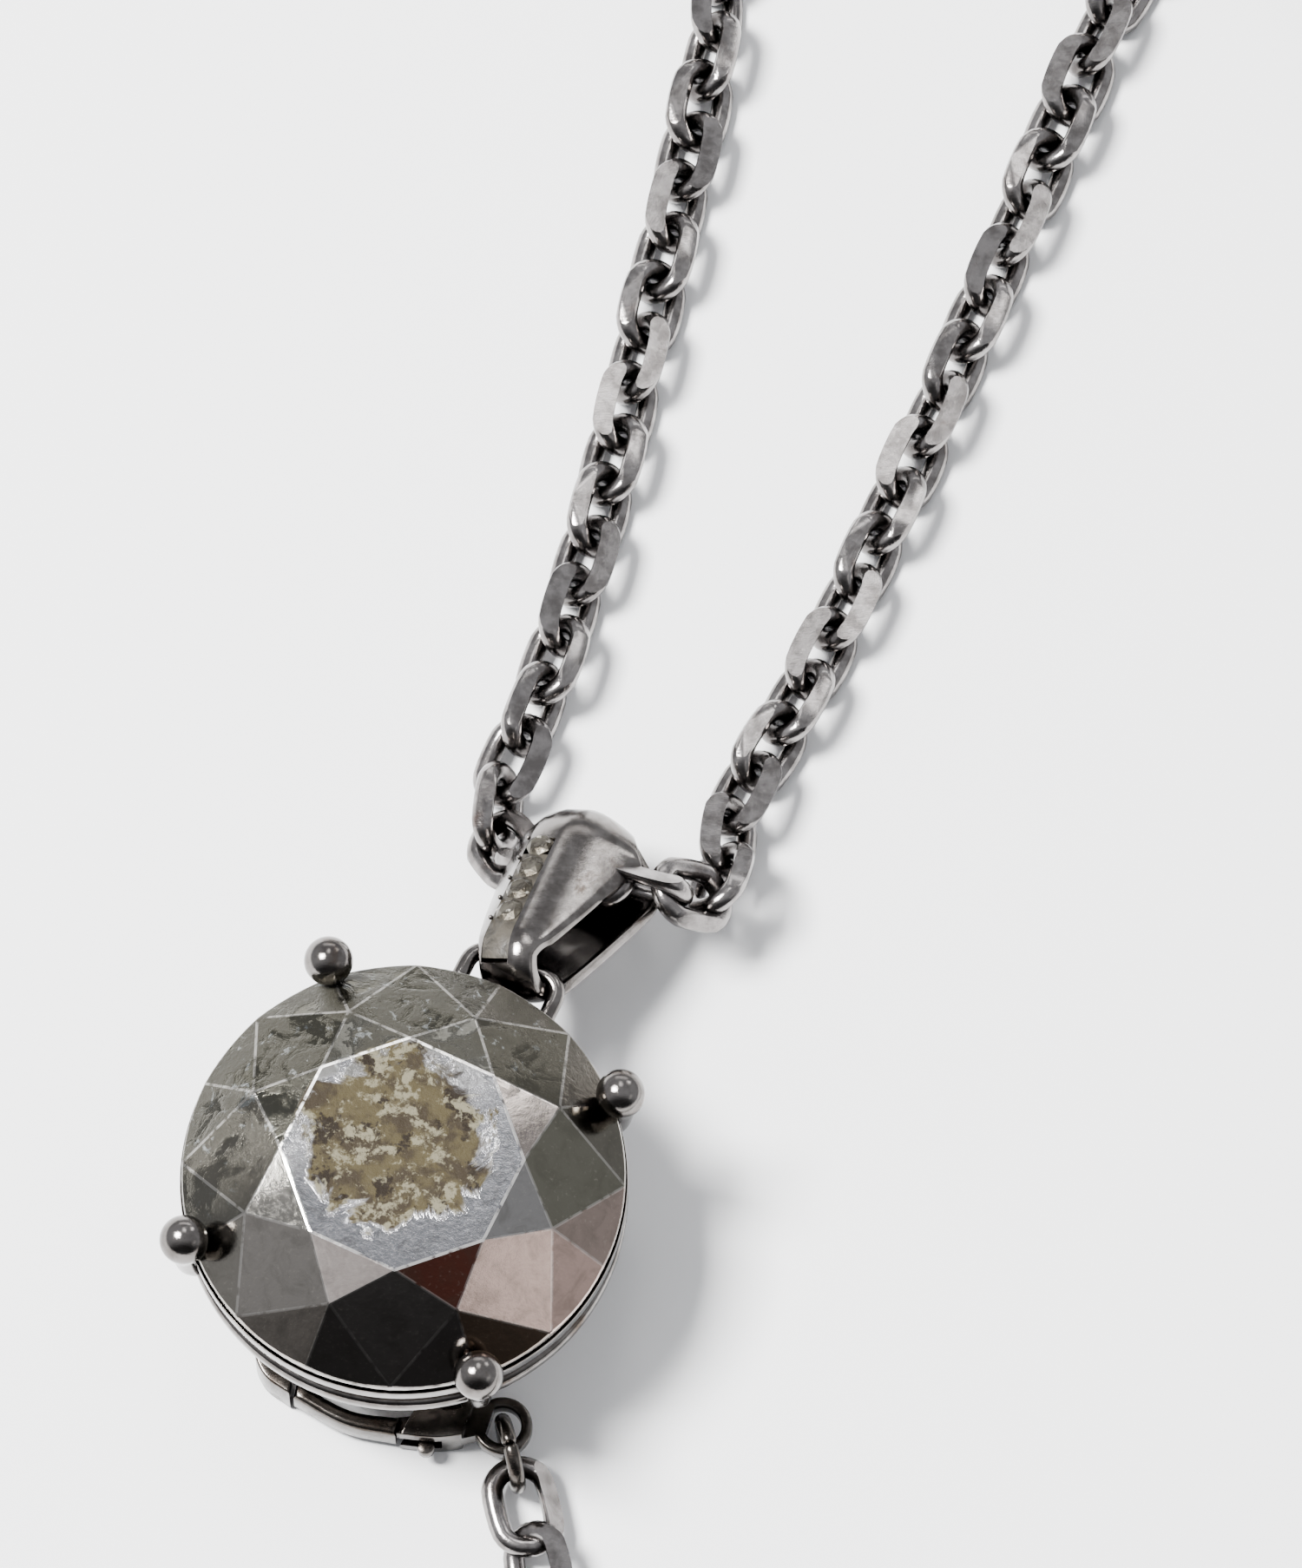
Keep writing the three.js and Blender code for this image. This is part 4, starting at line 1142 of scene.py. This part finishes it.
def melee_shape(radius):
    """A small eight-sided cut stone."""
    rings = []
    for size, z, turn_by in ((0.45, -0.13, 0), (1.0, -0.02, 22.5), (1.0, 0.03, 22.5), (0.6, 0.12, 0)):
        rings.append([polar(radius * size, 45 * k + turn_by, z) for k in range(8)])
    return rings_to_shape(rings, closed=False)


def grime_shape():
    """A thin strip that follows the channel's floor, and stops short of its far end."""
    half = CHANNEL_HALF - 0.015
    profile = [(-half, 0.2), (-half, 0.27), (0, 0.31), (half, 0.27), (half, 0.2)]
    section = [(CHANNEL_SIDE + x, height) for x, height in profile]
    top = on_front_y(CHANNEL_END - 0.35)
    stations = [s for s in bail_stations() if is_in_channel(s) and s[0] < top]
    stations.sort(key=lambda s: s[0] if s[4] == 1.0 else s[4] - 9)
    return rings_to_shape([ring_round(s, section) for s in stations], closed=False)


def add_bail_stones():
    """Four worn stones bedded in grime along the channel, with worn beads down one edge."""
    length = CHANNEL_END - CHANNEL_START
    pitch = length / BAIL_STONES
    place = front_frame() @ shift(CHANNEL_SIDE, 0, 0)
    for i in range(BAIL_STONES):
        y = CHANNEL_START + pitch * (i + 0.42)
        spot = place @ shift(0, y, -MELEE_SINK) @ turn("Z", 22.5 + 5 * i)
        stone = piece(f"melee_{i + 1}", melee_shape(MELEE_RADIUS), MELEE, "bail", spot, sharp=10)
        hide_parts(f"bail_stone_{i + 1}")
    grime = piece("channel_grime", grime_shape(), GRIME, "bail", BAIL)
    beads = []
    for i in range(BAIL_STONES + 1):
        y = CHANNEL_START + 0.02 + (pitch - 0.06) * i
        beads.append(ball((-CHANNEL_HALF, y, -0.02), BEAD_RADIUS, 14, 8))
    row = piece("channel_beads", together(*beads), BRIGHT, "bail", place)


# ---- Clasp ----
def flat_line(points, per_span=8):
    return [tuple(p) for p in smooth_line(points, per_span)]


def hook_outline():
    outer = [
        (0.3, -0.33), (1.3, -0.85), (2.8, -1.22), (4.4, -1.08), (5.6, -0.48), (5.88, 0.1),
        (5.5, 0.64), (4.8, 0.9),
    ]
    inner = [
        (4.85, 0.48), (5.2, 0.36), (5.42, 0.06), (5.1, -0.3), (4.1, -0.7), (2.9, -0.78),
        (2.1, -0.42), (1.95, 0.2),
    ]
    back = [(2.12, 1.04), (1.2, 0.82), (0.3, 0.33)]
    return flat_line(outer) + flat_line(inner) + flat_line(back)


def clasp_eye():
    """The flattened ring that the jump ring passes through."""
    corners = [(0.42, 0.39), (0.68, 0.39), (0.68, 0.81), (0.42, 0.81)]
    return turned(rounded_profile(corners, 0.1, 5), 48)


def clasp_body():
    """The hook, cut open for the lever's tail, beside the eye, and in a leaf-shaped pocket."""
    middle = CLASP_THICKNESS / 2
    solid = plate(hook_outline(), 0.0, CLASP_THICKNESS, 0.16, 4)
    body = piece("clasp_hook", solid, SHADED_FITTING, "clasp", CLASP)
    lever_slot = [(1.05, 0.02), (2.6, -0.16), (2.6, 1.5), (1.3, 1.5)]
    cut_with(body, plate(lever_slot, middle - CLASP_SLOT / 2, middle + CLASP_SLOT / 2, 0.02, 1))
    beside_eye = [(-0.5, -1.5), (0.78, -1.5), (0.78, 1.5), (-0.5, 1.5)]
    for low, high in ((EYE_TOP, 2.0), (-1.0, EYE_BOTTOM)):
        cut_with(body, plate(beside_eye, low, high, 0.02, 1))
    leaf_pocket = flat_line([(0.95, 0.0), (1.3, -0.42), (2.0, -0.62), (2.4, -0.5)])
    leaf_pocket += flat_line([(2.15, -0.28), (1.9, 0.1), (1.3, 0.2)])
    cut_with(body, plate(leaf_pocket, 0.45, 2.0, 0.03, 1))
    return body


def rivet_shape():
    top = CLASP_THICKNESS + 0.03
    return turned([(0, -0.01), (RIVET_RADIUS, 0.0), (RIVET_RADIUS, top), (0, top + 0.02)], 24)


def add_clasp():
    body = clasp_body()
    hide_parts("clasp_body")
    eye = piece("clasp_eye", clasp_eye(), SHADED_FITTING, "clasp", CLASP)
    pin = piece("clasp_rivet", rivet_shape(), SHADED_FITTING, "clasp", CLASP @ shift(*CLASP_PIVOT, 0))
    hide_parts("clasp_pin")
    leaf = [(1.16, 0.07), (1.8, 0.03), (1.8, 0.08), (1.21, 0.12), (1.23, 0.62), (1.19, 0.62)]
    spring = piece("clasp_leaf", plate(leaf, 0.42, 0.78, 0.01, 1), SHADED_FITTING, "clasp", CLASP)
    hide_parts("clasp_spring")
    lever = add_lever()
    parts = [body, eye, pin, spring, lever]
    return parts


def cut_with(obj, shape):
    """Cuts a shape drawn in the clasp's frame out of a piece."""
    points, faces = shape
    mesh = bpy.data.meshes.new("cutter")
    mesh.from_pydata([(CLASP @ Vector(p)) * MM for p in points], [], faces)
    cutter = bpy.data.objects.new("cutter", mesh)
    bpy.context.scene.collection.objects.link(cutter)
    modifier = obj.modifiers.new("cut", "BOOLEAN")
    modifier.object = cutter
    modifier.solver = "EXACT"
    evaluated = obj.evaluated_get(bpy.context.evaluated_depsgraph_get())
    result = bpy.data.meshes.new_from_object(evaluated)
    obj.modifiers.remove(modifier)
    obj.data = result
    bpy.data.objects.remove(cutter)


def add_lever():
    """The thumb lever: a curved arm that closes the hook, and a flat tail round the rivet."""
    arm = flat_line([(2.22, 0.6), (3.4, 0.78), (4.74, 0.5)])
    arm += flat_line([(4.7, 0.9), (3.4, 1.16), (2.22, 1.04)])
    tail = arc(*CLASP_PIVOT, 0.27, 115, 255, 10) + [(2.4, 0.6), (2.4, 1.0)]
    thumb = arc(1.5, 1.0, 0.2, 0, 360, 12)[:-1]
    arms = plate(arm, 0.17, 1.03, 0.13, 3)
    tails = plate(tail, 0.38, 0.82, 0.04, 2)
    thumbs = plate(thumb, 0.42, 0.78, 0.06, 2)
    lever = piece("clasp_thumb_lever", together(arms, tails, thumbs), SHADED_FITTING, "lever", CLASP)
    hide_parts("clasp_lever")
    return lever


# ---- Assembly ----
add_shaped_links()
clasp_pieces = add_clasp()
clasp_pieces.append(jump_ring("clasp_jump_ring", ring_place, "clasp", "clasp_ring"))
clasp_pieces.append(add_link("clasp_side_link", last_link_place, "clasp_end_link"))
end_pieces = [
    add_link("last_link", end_link_place, "end_link"),
    jump_ring("end_jump_ring", end_ring_place, "free_end", "end_ring"),
]

left_line = on_table(LEFT_ROUTE) + coil_line()
left_strand, left_path = add_strand(
    "left_chain", left_places[-1], -1, left_line, ["left_strand", "chain_coil"]
)

right_line = on_table(RIGHT_ROUTE) + [last_link_place @ Vector((LINK_PITCH / 2, 0, 0))]
right_strand, right_path = add_strand(
    "right_chain", right_places[-1], 1, right_line, ["right_strand"]
)

add_main_stone()
add_cup()
add_gallery()
add_prongs()
add_hanger()
add_bail()
add_bail_stones()
